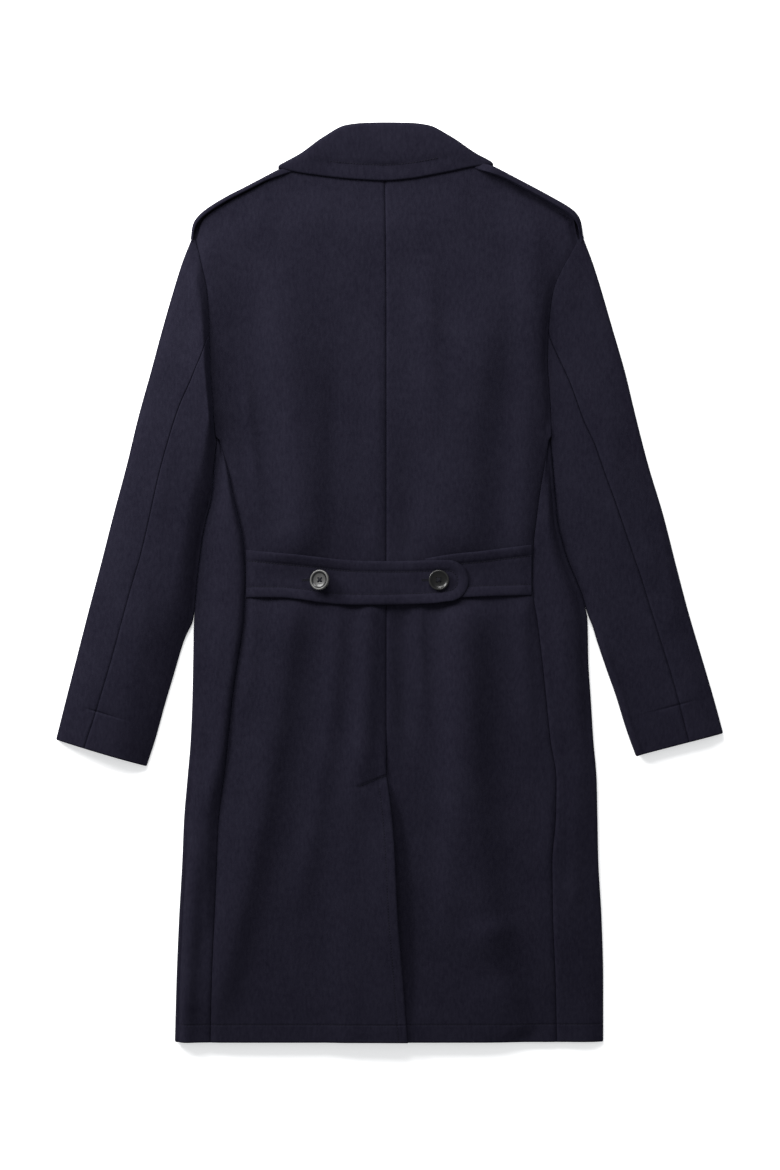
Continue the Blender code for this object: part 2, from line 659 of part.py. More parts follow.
for old in list(bpy.data.objects):
    bpy.data.objects.remove(old)
for half in ("left", "right"):
    back_half(half)
    side_body(half)
    front_half(half)
    collar_end(half)
sleeve("left", SLEEVE_LEFT)
sleeve("right", SLEEVE_RIGHT)
collar()
strap("left", STRAP_LEFT)
strap("right", STRAP_RIGHT)
belt_tab("left", BELT_LEFT)
belt_tab("right", BELT_RIGHT)
for each in BUTTONS:
    button(each)
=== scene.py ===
# %% [markdown]
# # A wool coat, laid face down
# The coat lies flat with its back up. It has two back halves with a vent, two side bodies, two piece sleeves,
# a collar, shoulder straps and a buttoned half belt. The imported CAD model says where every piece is. This
# script puts a finer shell of cloth on each solid, with its seams, folds, stitching and buttons.

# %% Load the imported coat
import math
from collections import namedtuple

import bmesh
import bpy
import numpy as np
from mathutils import Matrix, Vector
from mathutils.bvhtree import BVHTree


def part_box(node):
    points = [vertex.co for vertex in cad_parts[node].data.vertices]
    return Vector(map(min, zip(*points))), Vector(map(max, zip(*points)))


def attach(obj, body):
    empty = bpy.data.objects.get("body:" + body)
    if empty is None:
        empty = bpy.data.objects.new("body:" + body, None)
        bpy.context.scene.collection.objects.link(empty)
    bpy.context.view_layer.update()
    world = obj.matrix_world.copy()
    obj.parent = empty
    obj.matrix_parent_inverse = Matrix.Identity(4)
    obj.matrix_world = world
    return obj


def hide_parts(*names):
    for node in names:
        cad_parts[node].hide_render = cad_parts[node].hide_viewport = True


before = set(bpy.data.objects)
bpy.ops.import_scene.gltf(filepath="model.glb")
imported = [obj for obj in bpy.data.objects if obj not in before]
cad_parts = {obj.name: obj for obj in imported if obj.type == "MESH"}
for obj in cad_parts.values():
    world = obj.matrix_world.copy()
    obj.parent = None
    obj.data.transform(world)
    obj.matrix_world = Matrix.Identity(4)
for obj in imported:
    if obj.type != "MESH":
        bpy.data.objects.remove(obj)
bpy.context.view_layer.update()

# %% [markdown]
# ## The pattern
# A tailor cuts from a paper pattern, and these tables are the pattern: the same numbers, in millimetres, that
# the CAD solids were made from. Reading points back from the solids would also work, but then each shell
# would only be as fine as its solid. With the tables, the same curves can be walked in much smaller steps.

# %% Heights of the layers, and the edges of the body
MM = 0.001
WALL = 3.0
GAP = 0.3
LAYER = WALL + GAP
BACK_TOP = 3 * WALL + 2 * GAP
BACK_LOW = BACK_TOP - WALL
LEAF_TOP = BACK_TOP + LAYER
HEM_Y = -552.0
UNDERARM_Y = 171.0
SHOULDER_Y = 412.0
OUTWARD = {"left": -1.0, "right": 1.0}
SIDES = ("left", "right")

Body = namedtuple("Body", "y side_left seam_left seam_right side_right")
BODY = (
    Body(171, -208, -204, 191, 194),
    Body(135, -211, -194, 185, 197),
    Body(99, -214, -187, 179, 200),
    Body(75, -220, -181, 176, 202),
    Body(51, -225, -176, 173, 207),
    Body(27, -228, -174, 172, 214),
    Body(3, -231, -173, 171, 224),
    Body(-21, -233, -174, 173, 233),
    Body(-45, -235, -175, 177, 238),
    Body(-93, -236, -182, 183, 239),
    Body(-141, -237, -189, 188, 242),
    Body(-189, -239, -194, 193, 245),
    Body(-237, -243, -199, 200, 249),
    Body(-285, -247, -205, 199, 250),
    Body(-333, -249, -207, 195, 251),
    Body(-405, -253, -210, 196, 255),
    Body(-477, -256, -213, 199, 257),
    Body(-552, -258, -215, 201, 257),
)
Armhole = namedtuple("Armhole", "y left right")
ARMHOLE = (
    Armhole(171, -208, 194),
    Armhole(202, -211, 194),
    Armhole(233, -213, 192),
    Armhole(267, -215, 190),
    Armhole(299, -216, 191),
    Armhole(325, -217, 193),
    Armhole(351, -219, 197),
    Armhole(375, -224, 207),
    Armhole(397, -229, 219),
    Armhole(412, -233, 227),
)
Edge = namedtuple("Edge", "x y")
NECK_POINT = Edge(82, 518)
SHOULDER_EDGE = (
    Edge(100, 507), Edge(132, 489), Edge(199, 453.5), Edge(220, 439.5), Edge(228, 427), Edge(236, 408),
)
BACK_NECK = (Edge(0, 500), Edge(30, 501.5), Edge(60, 508))
FRONT_EDGE = (
    Edge(22, 329), Edge(0, 368), Edge(-24, 410), Edge(-47, 451), Edge(-66, 490), Edge(-82, 518),
)
CENTRE_SEAM = (Edge(-10, 482), Edge(-5.5, 399), Edge(-4, 300), Edge(-4, -229))
print("pattern rows:", len(BODY), "body,", len(ARMHOLE), "armhole")

# %% [markdown]
# Straight lines between the rows of a table would leave corners in the cloth. A monotone cubic runs through
# every row without overshooting, so an edge stays where the pattern puts it and is smooth in between.

# %% Soft ramps and smooth lines
def smoothstep(low, high, value):
    """A soft ramp from 0 at low to 1 at high."""
    share = np.clip((value - low) / (high - low), 0.0, 1.0)
    return share * share * (3 - 2 * share)


def between(low, high, share):
    """A value part of the way from low to high."""
    return low + (high - low) * share


def bell(distance, reach):
    """A soft hump: 1 at distance 0, and nearly 0 beyond twice its reach."""
    return np.exp(-((distance / reach) ** 2))


def plateau(rise, fall, value):
    """A soft rise from 0 to 1 over the first span, and a soft fall back to 0 over the second."""
    return smoothstep(*rise, value) * (1 - smoothstep(*fall, value))


def smooth_line(places, values):
    """A function that runs smoothly through the values at the given places and never overshoots."""
    order = np.argsort(places)
    place = np.asarray(places, float)[order]
    value = np.asarray(values, float)[order]
    step = np.diff(place)
    slope = np.diff(value) / step
    product = slope[1:] * slope[:-1]
    total = slope[1:] + slope[:-1]
    turning = (product <= 0) | (total == 0)
    inside = np.where(turning, 0.0, 2 * product / np.where(turning, 1.0, total))
    lean = np.concatenate([slope[:1], inside, slope[-1:]])

    def at(where):
        where = np.clip(where, place[0], place[-1])
        i = np.clip(np.searchsorted(place, where) - 1, 0, len(step) - 1)
        t = (where - place[i]) / step[i]
        start = value[i] * (1 + 2 * t) * (1 - t) ** 2 + lean[i] * step[i] * t * (1 - t) ** 2
        end = value[i + 1] * t * t * (3 - 2 * t) + lean[i + 1] * step[i] * t * t * (t - 1)
        return start + end

    return at


def column(rows, place, value):
    """A smooth line through one named column of a table."""
    return smooth_line([getattr(row, place) for row in rows], [getattr(row, value) for row in rows])


SIDE_EDGE = {side: column(BODY, "y", f"side_{side}") for side in SIDES}
LONG_SEAM = {side: column(BODY, "y", f"seam_{side}") for side in SIDES}
ARM_SEAM = {side: column(ARMHOLE, "y", side) for side in SIDES}
NECK_AND_SHOULDER = column(BACK_NECK + (NECK_POINT,) + SHOULDER_EDGE, "x", "y")
CENTRE_X = column(CENTRE_SEAM, "y", "x")
FRONT_EDGE_X = column(FRONT_EDGE, "y", "x")


def body_seam(side, y):
    """X of the edge where the back and the front end: the long seam, then the armhole."""
    return np.where(y > UNDERARM_Y, ARM_SEAM[side](y), LONG_SEAM[side](y))


print("waist between the long seams:", round(float(np.ptp([body_seam(side, 3.0) for side in SIDES]))), "mm")

# %% [markdown]
# ## Wool, thread and horn
# Melton wool is a dense felted cloth. It is almost matt, very dark blue, slightly uneven in colour, with a
# short nap of fibres that run down the garment. A picture of cloth would do, but a procedural material stays
# sharp at any distance. Its maths is written as Python: one small class wraps a socket, and an operator on it
# adds the node.

# %% A socket that can be calculated with
class Shade:
    """A socket of a material, with operators that add Math nodes."""

    def __init__(self, tree, socket=None):
        self.tree = tree
        self.socket = socket

    def node(self, kind, settings=None, sockets=None, output=0):
        """Adds any other node: its settings first, then the values or links of its sockets."""
        added = self.tree.nodes.new(kind)
        for name, value in (settings or {}).items():
            if name == "stops":
                for element, (position, grey) in zip(added.color_ramp.elements, value):
                    element.position = position
                    element.color = (grey, grey, grey, 1.0)
            else:
                setattr(added, name, value)
        for name, value in (sockets or {}).items():
            if isinstance(value, Shade):
                self.tree.links.new(value.socket, added.inputs[name])
            else:
                added.inputs[name].default_value = value
        return Shade(self.tree, added.outputs[output])

    def math(self, operation, first, second):
        return self.node("ShaderNodeMath", {"operation": operation}, {0: first, 1: second})

    def __add__(self, other):
        return self.math("ADD", self, other)

    def __radd__(self, other):
        return self.math("ADD", other, self)

    def __sub__(self, other):
        return self.math("SUBTRACT", self, other)

    def __rsub__(self, other):
        return self.math("SUBTRACT", other, self)

    def __mul__(self, other):
        return self.math("MULTIPLY", self, other)

    def __rmul__(self, other):
        return self.math("MULTIPLY", other, self)


print("operators of a socket: + - *")

# %% [markdown]
# Every finish starts from a new material, and a few helpers wire its shader: soft noise, a colour between
# two others, fine relief, and values that are the same all over. Colours go through a Mix node, because a
# Math node would turn them grey.

# %% Helpers for the finishes
def new_material(name):
    """A new material: the material, a start for its expressions, and its shader's sockets."""
    material = bpy.data.materials.new(name)
    material.use_nodes = True
    shader = material.node_tree.nodes["Principled BSDF"]
    return material, Shade(material.node_tree), shader.inputs


def noise(start, place, scale, detail=3.0, rough=0.55):
    """Soft grey noise from 0 to 1 with features of about 1 / scale metres."""
    sockets = {"Vector": place, "Scale": scale, "Detail": detail, "Roughness": rough}
    return start.node("ShaderNodeTexNoise", {"noise_dimensions": "3D"}, sockets)


def mixed_colour(start, share, low, high):
    """A colour between two others, each a fixed one or one that is calculated too."""
    mix = start.node("ShaderNodeMix", {"data_type": "RGBA"}).socket.node
    sockets = {socket.identifier: socket for socket in mix.inputs}
    for name, colour in (("A_Color", low), ("B_Color", high)):
        if isinstance(colour, Shade):
            start.tree.links.new(colour.socket, sockets[name])
        else:
            sockets[name].default_value = (*colour, 1.0)
    start.tree.links.new(share.socket, sockets["Factor_Float"])
    return Shade(start.tree, next(socket for socket in mix.outputs if socket.identifier == "Result_Color"))


def join(value, socket):
    """Links a calculated value into a shader's socket."""
    value.tree.links.new(value.socket, socket)


def fixed(inputs, values):
    """Sets the sockets of a shader that are the same all over."""
    for name, value in values.items():
        inputs[name].default_value = value


def bumped(start, height, strength, distance):
    """The normal of fine relief, whose height from 0 to 1 stands for a distance in metres."""
    return start.node("ShaderNodeBump", None, {"Strength": strength, "Distance": distance, "Height": height})


print("shader helpers ready")

# %% [markdown]
# The wool gets three kinds of noise. Broad mottling comes from uneven felting and dye, finer mottling from
# the yarns, and the finest one is the nap, stretched downwards because the fibres are brushed that way. The
# nap also feeds a Bump node. Sheen and specular are the same all over, so they are set on the sockets.

# %% Melton wool
WOOL_DARK = (0.0037, 0.0032, 0.0070)
WOOL_LIGHT = (0.0153, 0.0144, 0.0233)
BRUSHED = (1.0, 0.4, 1.0)
MOTTLE_SCALE = 22.0
YARN_SCALE = 330.0
LINT_SCALE = 620.0
NAP_SCALE = 1500.0
LINT_STOPS = ((0.66, 0.0), (0.78, 1.0))


def melton_wool(name):
    """Felted navy wool with mottling, a little lint and a short brushed nap."""
    material, start, inputs = new_material(name)
    place = start.node("ShaderNodeTexCoord", output="Object")
    brushed = start.node("ShaderNodeMapping", None, {"Vector": place, "Scale": BRUSHED})
    mottle = noise(start, place, MOTTLE_SCALE, 2.0)
    yarn = noise(start, brushed, YARN_SCALE, 3.0, 0.6)
    nap = noise(start, brushed, NAP_SCALE, 4.0, 0.65)
    fibre = noise(start, brushed, LINT_SCALE, 2.0, 0.7)
    lint = start.node("ShaderNodeValToRGB", {"stops": LINT_STOPS}, {"Fac": fibre})
    share = 0.7 * yarn + 0.7 * nap + 0.3 * mottle + 0.22 * lint - 0.38
    join(mixed_colour(start, share, WOOL_DARK, WOOL_LIGHT), inputs["Base Color"])
    join(0.76 - 0.16 * yarn, inputs["Roughness"])
    join(bumped(start, nap + 0.8 * yarn, 0.4, 0.0006), inputs["Normal"])
    fixed(inputs, {"Specular IOR Level": 0.008, "Sheen Weight": 0.04, "Sheen Roughness": 0.3})
    fixed(inputs, {"Sheen Tint": (0.3, 0.31, 0.6, 1.0)})
    material.diffuse_color = (*WOOL_LIGHT, 1.0)
    return material


WOOL = melton_wool("melton wool")
print("wool:", len(WOOL.node_tree.nodes), "nodes")

# %% [markdown]
# Sewing thread is twisted and a little shinier than the wool. The buttons are polished horn: one is seen
# tilted and catches the light, and its colours are painted lighter for it, while the other's are painted
# darker.
# Both carry a painted highlight on the rim and painted shade in the groove inside it. Cloudy streaks in the
# colour and a thin glossy coat make them horn and not plain plastic.

# %% Thread and horn
TWIST_SCALE = 2600.0
# How much lighter the twist is painted: a painted sheen along the thread.
THREAD_SHINE = 1.9
DRAWN = (1.0, 0.3, 1.0)
CLOUD_SCALE = 190.0
GRAIN_SCALE = 1500.0
# Shares of the button's radius where the painted highlight of the rim and the painted shade of its groove
# begin.
RIM_HIGHLIGHT_STOPS = ((0.82, 0.0), (0.85, 1.0))
GROOVE_SHADE_STOPS = ((0.62, 0.0), (0.7, 1.0))
HornTones = namedtuple("HornTones", "dark light rim groove")
# The left button's horn, painted lighter for the light it catches: its rim tone is a painted highlight, its
# groove tone painted shade.
HORN_PAINTED_LIT = HornTones(
    dark=(0.014, 0.014, 0.015), light=(0.06, 0.059, 0.057),
    rim=(0.072, 0.071, 0.069), groove=(0.004, 0.004, 0.0044),
)
# The right button's horn: the same horn painted darker, with a painted highlight on the rim and painted shade
# in the groove.
HORN_PAINTED_SHADED = HornTones(
    dark=(0.001, 0.001, 0.0012), light=(0.003, 0.0029, 0.0028),
    rim=(0.008, 0.0078, 0.0075), groove=(0.001, 0.001, 0.001),
)


def sewing_thread(name, colour):
    """Twisted thread: fine ridges across, painted lighter along the twist as sheen, and a faint real shine.
    """
    material, start, inputs = new_material(name)
    place = start.node("ShaderNodeTexCoord", output="Object")
    twist = noise(start, place, TWIST_SCALE, 2.0)
    lighter = tuple(THREAD_SHINE * part for part in colour)
    join(mixed_colour(start, twist, colour, lighter), inputs["Base Color"])
    join(0.75 - 0.2 * twist, inputs["Roughness"])
    join(bumped(start, twist, 0.4, 0.0002), inputs["Normal"])
    fixed(inputs, {"Specular IOR Level": 0.1})
    return material


def polished_horn(name, tones):
    """Horn with cloudy streaks, a painted highlight on its rim and painted shade in its groove, by radius."""
    material, start, inputs = new_material(name)
    place = start.node("ShaderNodeTexCoord", output="Object")
    drawn = start.node("ShaderNodeMapping", None, {"Vector": place, "Scale": DRAWN})
    cloud = noise(start, drawn, CLOUD_SCALE, 4.0, 0.6)
    grain = noise(start, drawn, GRAIN_SCALE, 3.0, 0.6)
    radius = start.node("ShaderNodeAttribute", {"attribute_name": "radius"}, output="Fac")
    # Painted highlight: the rim is coloured lighter. Painted shade: the groove inside it is coloured darker.
    rim_highlight = start.node("ShaderNodeValToRGB", {"stops": RIM_HIGHLIGHT_STOPS}, {"Fac": radius})
    groove_shade_mask = start.node("ShaderNodeValToRGB", {"stops": GROOVE_SHADE_STOPS}, {"Fac": radius})
    dish = mixed_colour(start, 1.3 * cloud - 0.15 + 0.2 * grain, tones.dark, tones.light)
    dish_and_groove_shade = mixed_colour(start, groove_shade_mask, dish, tones.groove)
    join(mixed_colour(start, rim_highlight, dish_and_groove_shade, tones.rim), inputs["Base Color"])
    join(0.26 + 0.12 * grain, inputs["Roughness"])
    join(bumped(start, grain, 0.12, 0.0002), inputs["Normal"])
    fixed(inputs, {"Specular IOR Level": 0.28, "Coat Weight": 0.05, "Coat Roughness": 0.15})
    return material


# The thread's navy is kept darker than the wool, partly its own colour and partly painted shade, so a
# stitched line reads dark like its shaded groove.
THREAD = sewing_thread("navy thread", (0.0035, 0.0033, 0.0062))
BUTTON_THREAD = sewing_thread("button thread", (0.004, 0.004, 0.006))
# One horn in two copies: painted lit on the left button and painted shaded on the right one.
HORN = {"left": polished_horn("grey horn", HORN_PAINTED_LIT), "right": polished_horn("dark horn", HORN_PAINTED_SHADED)}
print("finishes:", [WOOL.name, THREAD.name, BUTTON_THREAD.name] + [horn.name for horn in HORN.values()])

# %% [markdown]
# ## A wall of cloth
# Every panel is a grid of points on its outer face and a second grid on its inner face, closed by a rim. A
# plane with a Solidify modifier would be quicker, but two grids let an edge be worked: a free edge is rounded
# where the cloth is turned in, and an edge at a seam sinks a little, as sewn cloth does.

# %% Rounded edges, seams and stitched channels
FREE_EDGE_REACH = 2.4
EDGE_CLOSE = 0.47
SEAM_OVERLAP = 0.12
SEAM_REACH = 3.2
SEAM_SINK = 0.66
CENTRE_SEAM_REACH = 5.0
CENTRE_SEAM_SINK = 0.8
LONG_SEAM_REACH = {"left": 8.0, "right": 6.0}
LONG_SEAM_SINK = {"left": 0.95, "right": 0.78}
STITCH_CHANNEL = 0.85
STEP_EDGE = 1.0
END_STEPS = np.array([0.0, 0.4, 0.9, 1.6, 2.5])
END_FILL = 4.0
SEAM_STEPS = np.array([0.0, 0.4, 0.9, 1.5, 2.2, 3.1, 4.6, 7.0, 10.0])
LINE_STEPS = np.array([-2.6, -1.7, -1.0, -0.5, 0.0, 0.5, 1.0, 1.7, 2.6])
FAR = 1000.0


def across(width, first, last, middle):
    """Distances in from an edge on each row: small steps at both edges and even ones between."""
    width = np.asarray(width, float)[:, None]
    share = np.linspace(0.0, 1.0, middle + 2)[None, 1:-1]
    inside = first[-1] + (width - first[-1] - last[-1]) * share
    start = np.repeat(first[None, :], len(width), axis=0)
    return np.concatenate([start, inside, width - last[None, ::-1]], axis=1)


def lip(distance, reach):
    """How far a rounded edge has dropped: 1 at the edge itself, 0 at its reach."""
    share = np.clip(1 - distance / reach, 0.0, 1.0)
    return 1 - np.sqrt(1 - share ** 2)


def round_edge(outer, inner, distance, reach=FREE_EDGE_REACH):
    """Brings both faces together along a free edge, so that the edge is round."""
    drop = EDGE_CLOSE * lip(distance, reach)[..., None]
    return outer + (inner - outer) * drop, inner + (outer - inner) * drop


def sink(outer, inner, share):
    """Moves the outer face in by a share of the thickness."""
    return outer + (inner - outer) * share[..., None]


def channel(distance, width=STITCH_CHANNEL):
    """The soft trough that a row of stitches presses into cloth, deepest at distance 0."""
    return bell(distance, width)


def stitched_step(below, reach):
    """A step down below a row of stitches, which levels out again over its reach."""
    return np.where(below > 0, 1 - smoothstep(0.0, reach, below), channel(below, STEP_EDGE))


print("edge steps:", SEAM_STEPS.tolist())

# %% [markdown]
# Crests of folds, straps and the edges of the half belt are all lines in the plan. One helper finds the
# nearest point of such a line for a whole grid of places at once.

# %% Distance from a line
def nearest_on(line, x, y):
    """For places of the plan: distance from a row of points, side of it, and share along it."""
    nearest = np.full(np.shape(x), math.inf)
    aside = np.zeros(np.shape(x))
    along = np.zeros(np.shape(x))
    for i, (start, end) in enumerate(zip(line[:-1], line[1:])):
        step = end - start
        t = ((x - start[0]) * step[0] + (y - start[1]) * step[1]) / step.dot(step)
        t = np.clip(t, 0.0, 1.0)
        from_x = x - start[0] - t * step[0]
        from_y = y - start[1] - t * step[1]
        distance = np.hypot(from_x, from_y)
        closer = distance < nearest
        nearest = np.where(closer, distance, nearest)
        aside = np.where(closer, np.sign(from_y * step[0] - from_x * step[1]), aside)
        along = np.where(closer, (i + t) / (len(line) - 1), along)
    return nearest, aside, along


probe = nearest_on(np.array([[0.0, 0.0], [10.0, 0.0]]), np.array(5.0), np.array(3.0))
print("distance, side and share along, 3 mm beside a line:", [float(value) for value in probe])

# %% [markdown]
# A grid becomes a mesh in one go, which is quick even for a hundred thousand points. Its normals are turned
# outwards afterwards, because a left piece is the mirror image of a right one and its faces turn the other
# way. Only edges sharper than an angle stay sharp.

# %% A wall between two grids
SHARP_ANGLE = 50.0
CLOTH = {}


def grid_points(x, y, z):
    """Points of a grid from coordinates that may be the same along its rows or its columns."""
    return np.stack(np.broadcast_arrays(x, y, z), axis=-1)


def sheet_faces(x, y, top, thickness=WALL):
    """Outer and inner points of cloth that lies flat or folded."""
    return grid_points(x, y, top), grid_points(x, y, top - thickness)


def area_of(grid):
    """Area of a grid of points, in the square of its unit."""
    crossed = np.cross(grid[1:, 1:] - grid[:-1, :-1], grid[1:, :-1] - grid[:-1, 1:])
    return float(np.linalg.norm(crossed, axis=-1).sum() / 2)


def add_mesh(name, points, faces):
    """A new object with a smooth mesh of points in metres."""
    mesh = bpy.data.meshes.new(name)
    mesh.from_pydata(points.tolist(), [], faces)
    mesh.shade_smooth()
    piece = bpy.data.objects.new(name, mesh)
    bpy.context.scene.collection.objects.link(piece)
    return piece


def join_coat(piece, material, node=None):
    """Gives a piece its finish, lets it ride on the coat, and hides the solid it stands for."""
    piece.data.materials.append(material)
    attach(piece, "root")
    if node:
        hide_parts(node)


def wall(node, outer, inner):
    """One closed piece of cloth between two grids of points in millimetres, rows by columns."""
    rows, columns = outer.shape[:2]
    points = np.concatenate([outer.reshape(-1, 3), inner.reshape(-1, 3)]) * MM
    grid = np.arange(rows * columns).reshape(rows, columns)
    skin = np.stack([grid[:-1, :-1], grid[:-1, 1:], grid[1:, 1:], grid[1:, :-1]], axis=-1).reshape(-1, 4)
    border = np.concatenate([grid[0, :-1], grid[:-1, -1], grid[-1, :0:-1], grid[:0:-1, 0]])
    following = np.roll(border, -1)
    inside = rows * columns
    rim = np.stack([following, border, border + inside, following + inside], axis=-1)
    faces = np.concatenate([skin, skin[:, ::-1] + inside, rim])
    piece = add_mesh(f"{node}_cloth", points, faces.tolist())
    bm = bmesh.new()
    bm.from_mesh(piece.data)
    bmesh.ops.recalc_face_normals(bm, faces=bm.faces)
    bm.to_mesh(piece.data)
    bm.free()
    piece.data.set_sharp_from_angle(angle=math.radians(SHARP_ANGLE))
    join_coat(piece, WOOL, node)
    CLOTH[node] = piece
    area_of(outer * MM)


print("pieces of cloth to come:", len(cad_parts) - len(SIDES), "and two buttons")

# %% [markdown]
# ## Folds and creases
# Cloth simulation would fold the coat in its own way. These folds are placed along crest lines, from
# a high point over a middle one to a low one, each with its own width, height and lean. A lean above 0 makes
# the right hand slope the steeper one, and a height below 0 makes a trough. The first nine are the main ones,
# which the solids have too, and the rest are small creases. They fade out at their ends, quickly where they
# run under the half belt or to the hem.

# %% The crest lines
Fold = namedtuple("Fold", "x_high y_high x_mid y_mid x_low y_low width height lean")
BACK_FOLDS = (
    Fold(-150, 430, -112, 205, -103, 5, 32, 10.5, -0.2),
    Fold(-16, 340, -14, 160, -18, 10, 12, 2.0, 0.2),
    Fold(132, 420, 100, 210, 85, 8, 42, 9.5, 0.2),
    Fold(176, 600, 168, 250, 156, 10, 19, 5.0, 0.1),
    Fold(-113, 10, -152, -260, -218, -550, 25, 9.0, 0.2),
    Fold(-64, -15, -74, -190, -114, -410, 13, 3.0, 0.0),
    Fold(-23, 20, -29, -150, -44, -320, 15, 6.5, -0.1),
    Fold(97, 5, 100, -240, 124, -480, 29, 11.0, 0.1),
    Fold(160, -5, 165, -110, 172, -240, 11, 2.5, 0.2),
)
BACK_CREASES = (
    Fold(46, 420, 48, 285, 58, 160, 18, 4.2, 0.2),
    Fold(-62, 300, -68, 160, -72, 20, 15, -2.0, 0.0),
    Fold(-192, 410, -166, 225, -160, 80, 28, -3.5, 0.0),
    Fold(-173, 270, -167, 185, -150, 50, 8, 2.6, 0.1),
    Fold(20, 190, 24, 110, 24, 20, 16, -2.5, 0.0),
    Fold(35, -15, 38, -100, 44, -210, 8, 2.0, 0.1),
    Fold(-160, -15, -166, -95, -180, -180, 12, 1.5, 0.1),
    Fold(17, -12, 17, -130, 20, -245, 11, -2.8, 0.0),
    Fold(76, -5, 80, -190, 64, -460, 21, 6.0, -0.3),
    Fold(190, -220, 192, -290, 190, -370, 11, 1.8, 0.0),
    Fold(124, -395, 138, -480, 162, -550, 22, 5.0, 0.1),
)
print("on the back:", len(BACK_FOLDS), "folds and", len(BACK_CREASES), "creases")

# %% [markdown]
# The height at a place comes from the nearest point of each crest line: how far away it is, on which side,
# and how far along. A fold's section is a bell curve, a little uneven along its length. Long faint waves
# are added all over, because worn cloth is never quite flat.

# %% Height of the folds
FOLD_PARTS = 12
FOLD_FADE = 0.4
BELT_FADE = 0.15
BELT_HALF = 30.0
HEM_FADE = 0.14
NEAR_HEM_Y = -380.0
FOLD_UNEVEN = 0.14
UNEVEN_WAVES = 9.0
UNEVEN_START = 0.11
LONG_WAVE = 0.35
SHORT_WAVE = 0.15


def crest_points(fold):
    """A smooth curve through a fold's three points, as a row of points."""
    high, middle, low = (np.array(point, float) for point in (fold[0:2], fold[2:4], fold[4:6]))
    pull = 2 * middle - (high + low) / 2
    t = np.linspace(0.0, 1.0, FOLD_PARTS + 1)[:, None]
    return high * (1 - t) ** 2 + 2 * pull * t * (1 - t) + low * t * t


def end_fade(y):
    """Share of its length over which a fold fades in: short under the half belt and near the hem."""
    if abs(y) < BELT_HALF:
        return BELT_FADE
    return HEM_FADE if y < NEAR_HEM_Y else FOLD_FADE


def folds_rise(folds, x, y):
    """Height that a table of folds adds at points of the plan."""
    rise = 0.0
    for fold in folds:
        distance, aside, along = nearest_on(crest_points(fold), x, y)
        width = fold.width * (1 - fold.lean * aside)
        fade_in = smoothstep(0.0, end_fade(fold.y_high), along)
        fade_out = smoothstep(0.0, end_fade(fold.y_low), 1 - along)
        uneven = 1 + FOLD_UNEVEN * np.sin(UNEVEN_WAVES * along + UNEVEN_START * fold.x_mid)
        rise = rise + fold.height * fade_in * fade_out * uneven * bell(distance, width)
    return rise


def slow_waves(x, y):
    """The faint unevenness of cloth that has been worn, from a few long waves."""
    first = np.sin(x / 31 + 1.3 * np.sin(y / 87)) * np.sin(y / 118 + x / 190)
    second = np.sin(x / 17 + y / 71 + 2.0) * np.sin(y / 53 - x / 140)
    return LONG_WAVE * first + SHORT_WAVE * second


probe = folds_rise(BACK_FOLDS, np.array([-107.0, 86.0]), np.array([150.0, 170.0]))
print("rise on two crests:", np.round(probe, 2).tolist(), "mm")

# %% [markdown]
# ## The back
# Two halves meet at the centre seam. The back is flat below the neck and the shoulders, puffed between its
# seams and pressed flatter under the half belt, and its lower right falls off towards the hem. The shoulder
# straps come later, but their line is needed here, because the back dips a little beside them.

# %% Where the back dips and rises
STRAPS = {
    "left": (
        Edge(-134, 496), Edge(-172, 476), Edge(-199, 462), Edge(-221, 448), Edge(-229, 441), Edge(-235, 433),
        Edge(-237.5, 425), Edge(-238.3, 418), Edge(-239, 412.6),
    ),
    "right": (
        Edge(126, 499), Edge(170, 476), Edge(194, 463), Edge(219, 448), Edge(226, 441), Edge(230, 433),
        Edge(231.5, 425), Edge(232.5, 418), Edge(233.8, 413),
    ),
}
STRAP_BACK_REACH = {"left": 5.8, "right": 8.0}
BACK_PUFF = 4.6
HEM_DROOP = 6.0
HEM_DROOP_X = (105.0, 175.0)
HEM_DROOP_Y = (-435.0, -540.0)
SEAM_DROP = {"left": (1.4, -2.4), "right": (0.4, 4.0)}
SEAM_DROP_REACH = {"left": (8.0, 26.0), "right": (6.0, 6.0)}
UNDERARM_BLEND = 40.0
UNDERARM_CALM = 16.0
UNDERARM_EASE = 0.6
YOKE_FLAT = (25.0, 5.0)
YOKE_FADE = (85.0, 60.0)
YOKE_X = (122.0, 160.0)
WAVES_CALM = 26.0
BELT_PRESS = 0.3
BELT_PRESS_RISE = (-36.0, -18.0)
BELT_PRESS_FALL = (22.0, 46.0)
ARMHOLE_CALM = 9.0
ARMHOLE_CALM_START = 30.0
ARMHOLE_FADE = {"left": 0.0, "right": 0.7}
ARMHOLE_FADE_Y = (310.0, 375.0)


def shoulder_calm(side, y):
    """How much of its depth an armhole seam keeps towards the shoulder."""
    return 1 - ARMHOLE_FADE[side] * smoothstep(*ARMHOLE_FADE_Y, y)


def seam_calm(side, y):
    """How much of its depth an outer seam keeps: less at the underarm, where three meet, and the shoulder."""
    return (1 - UNDERARM_EASE * bell(y - UNDERARM_Y, UNDERARM_CALM)) * shoulder_calm(side, y)


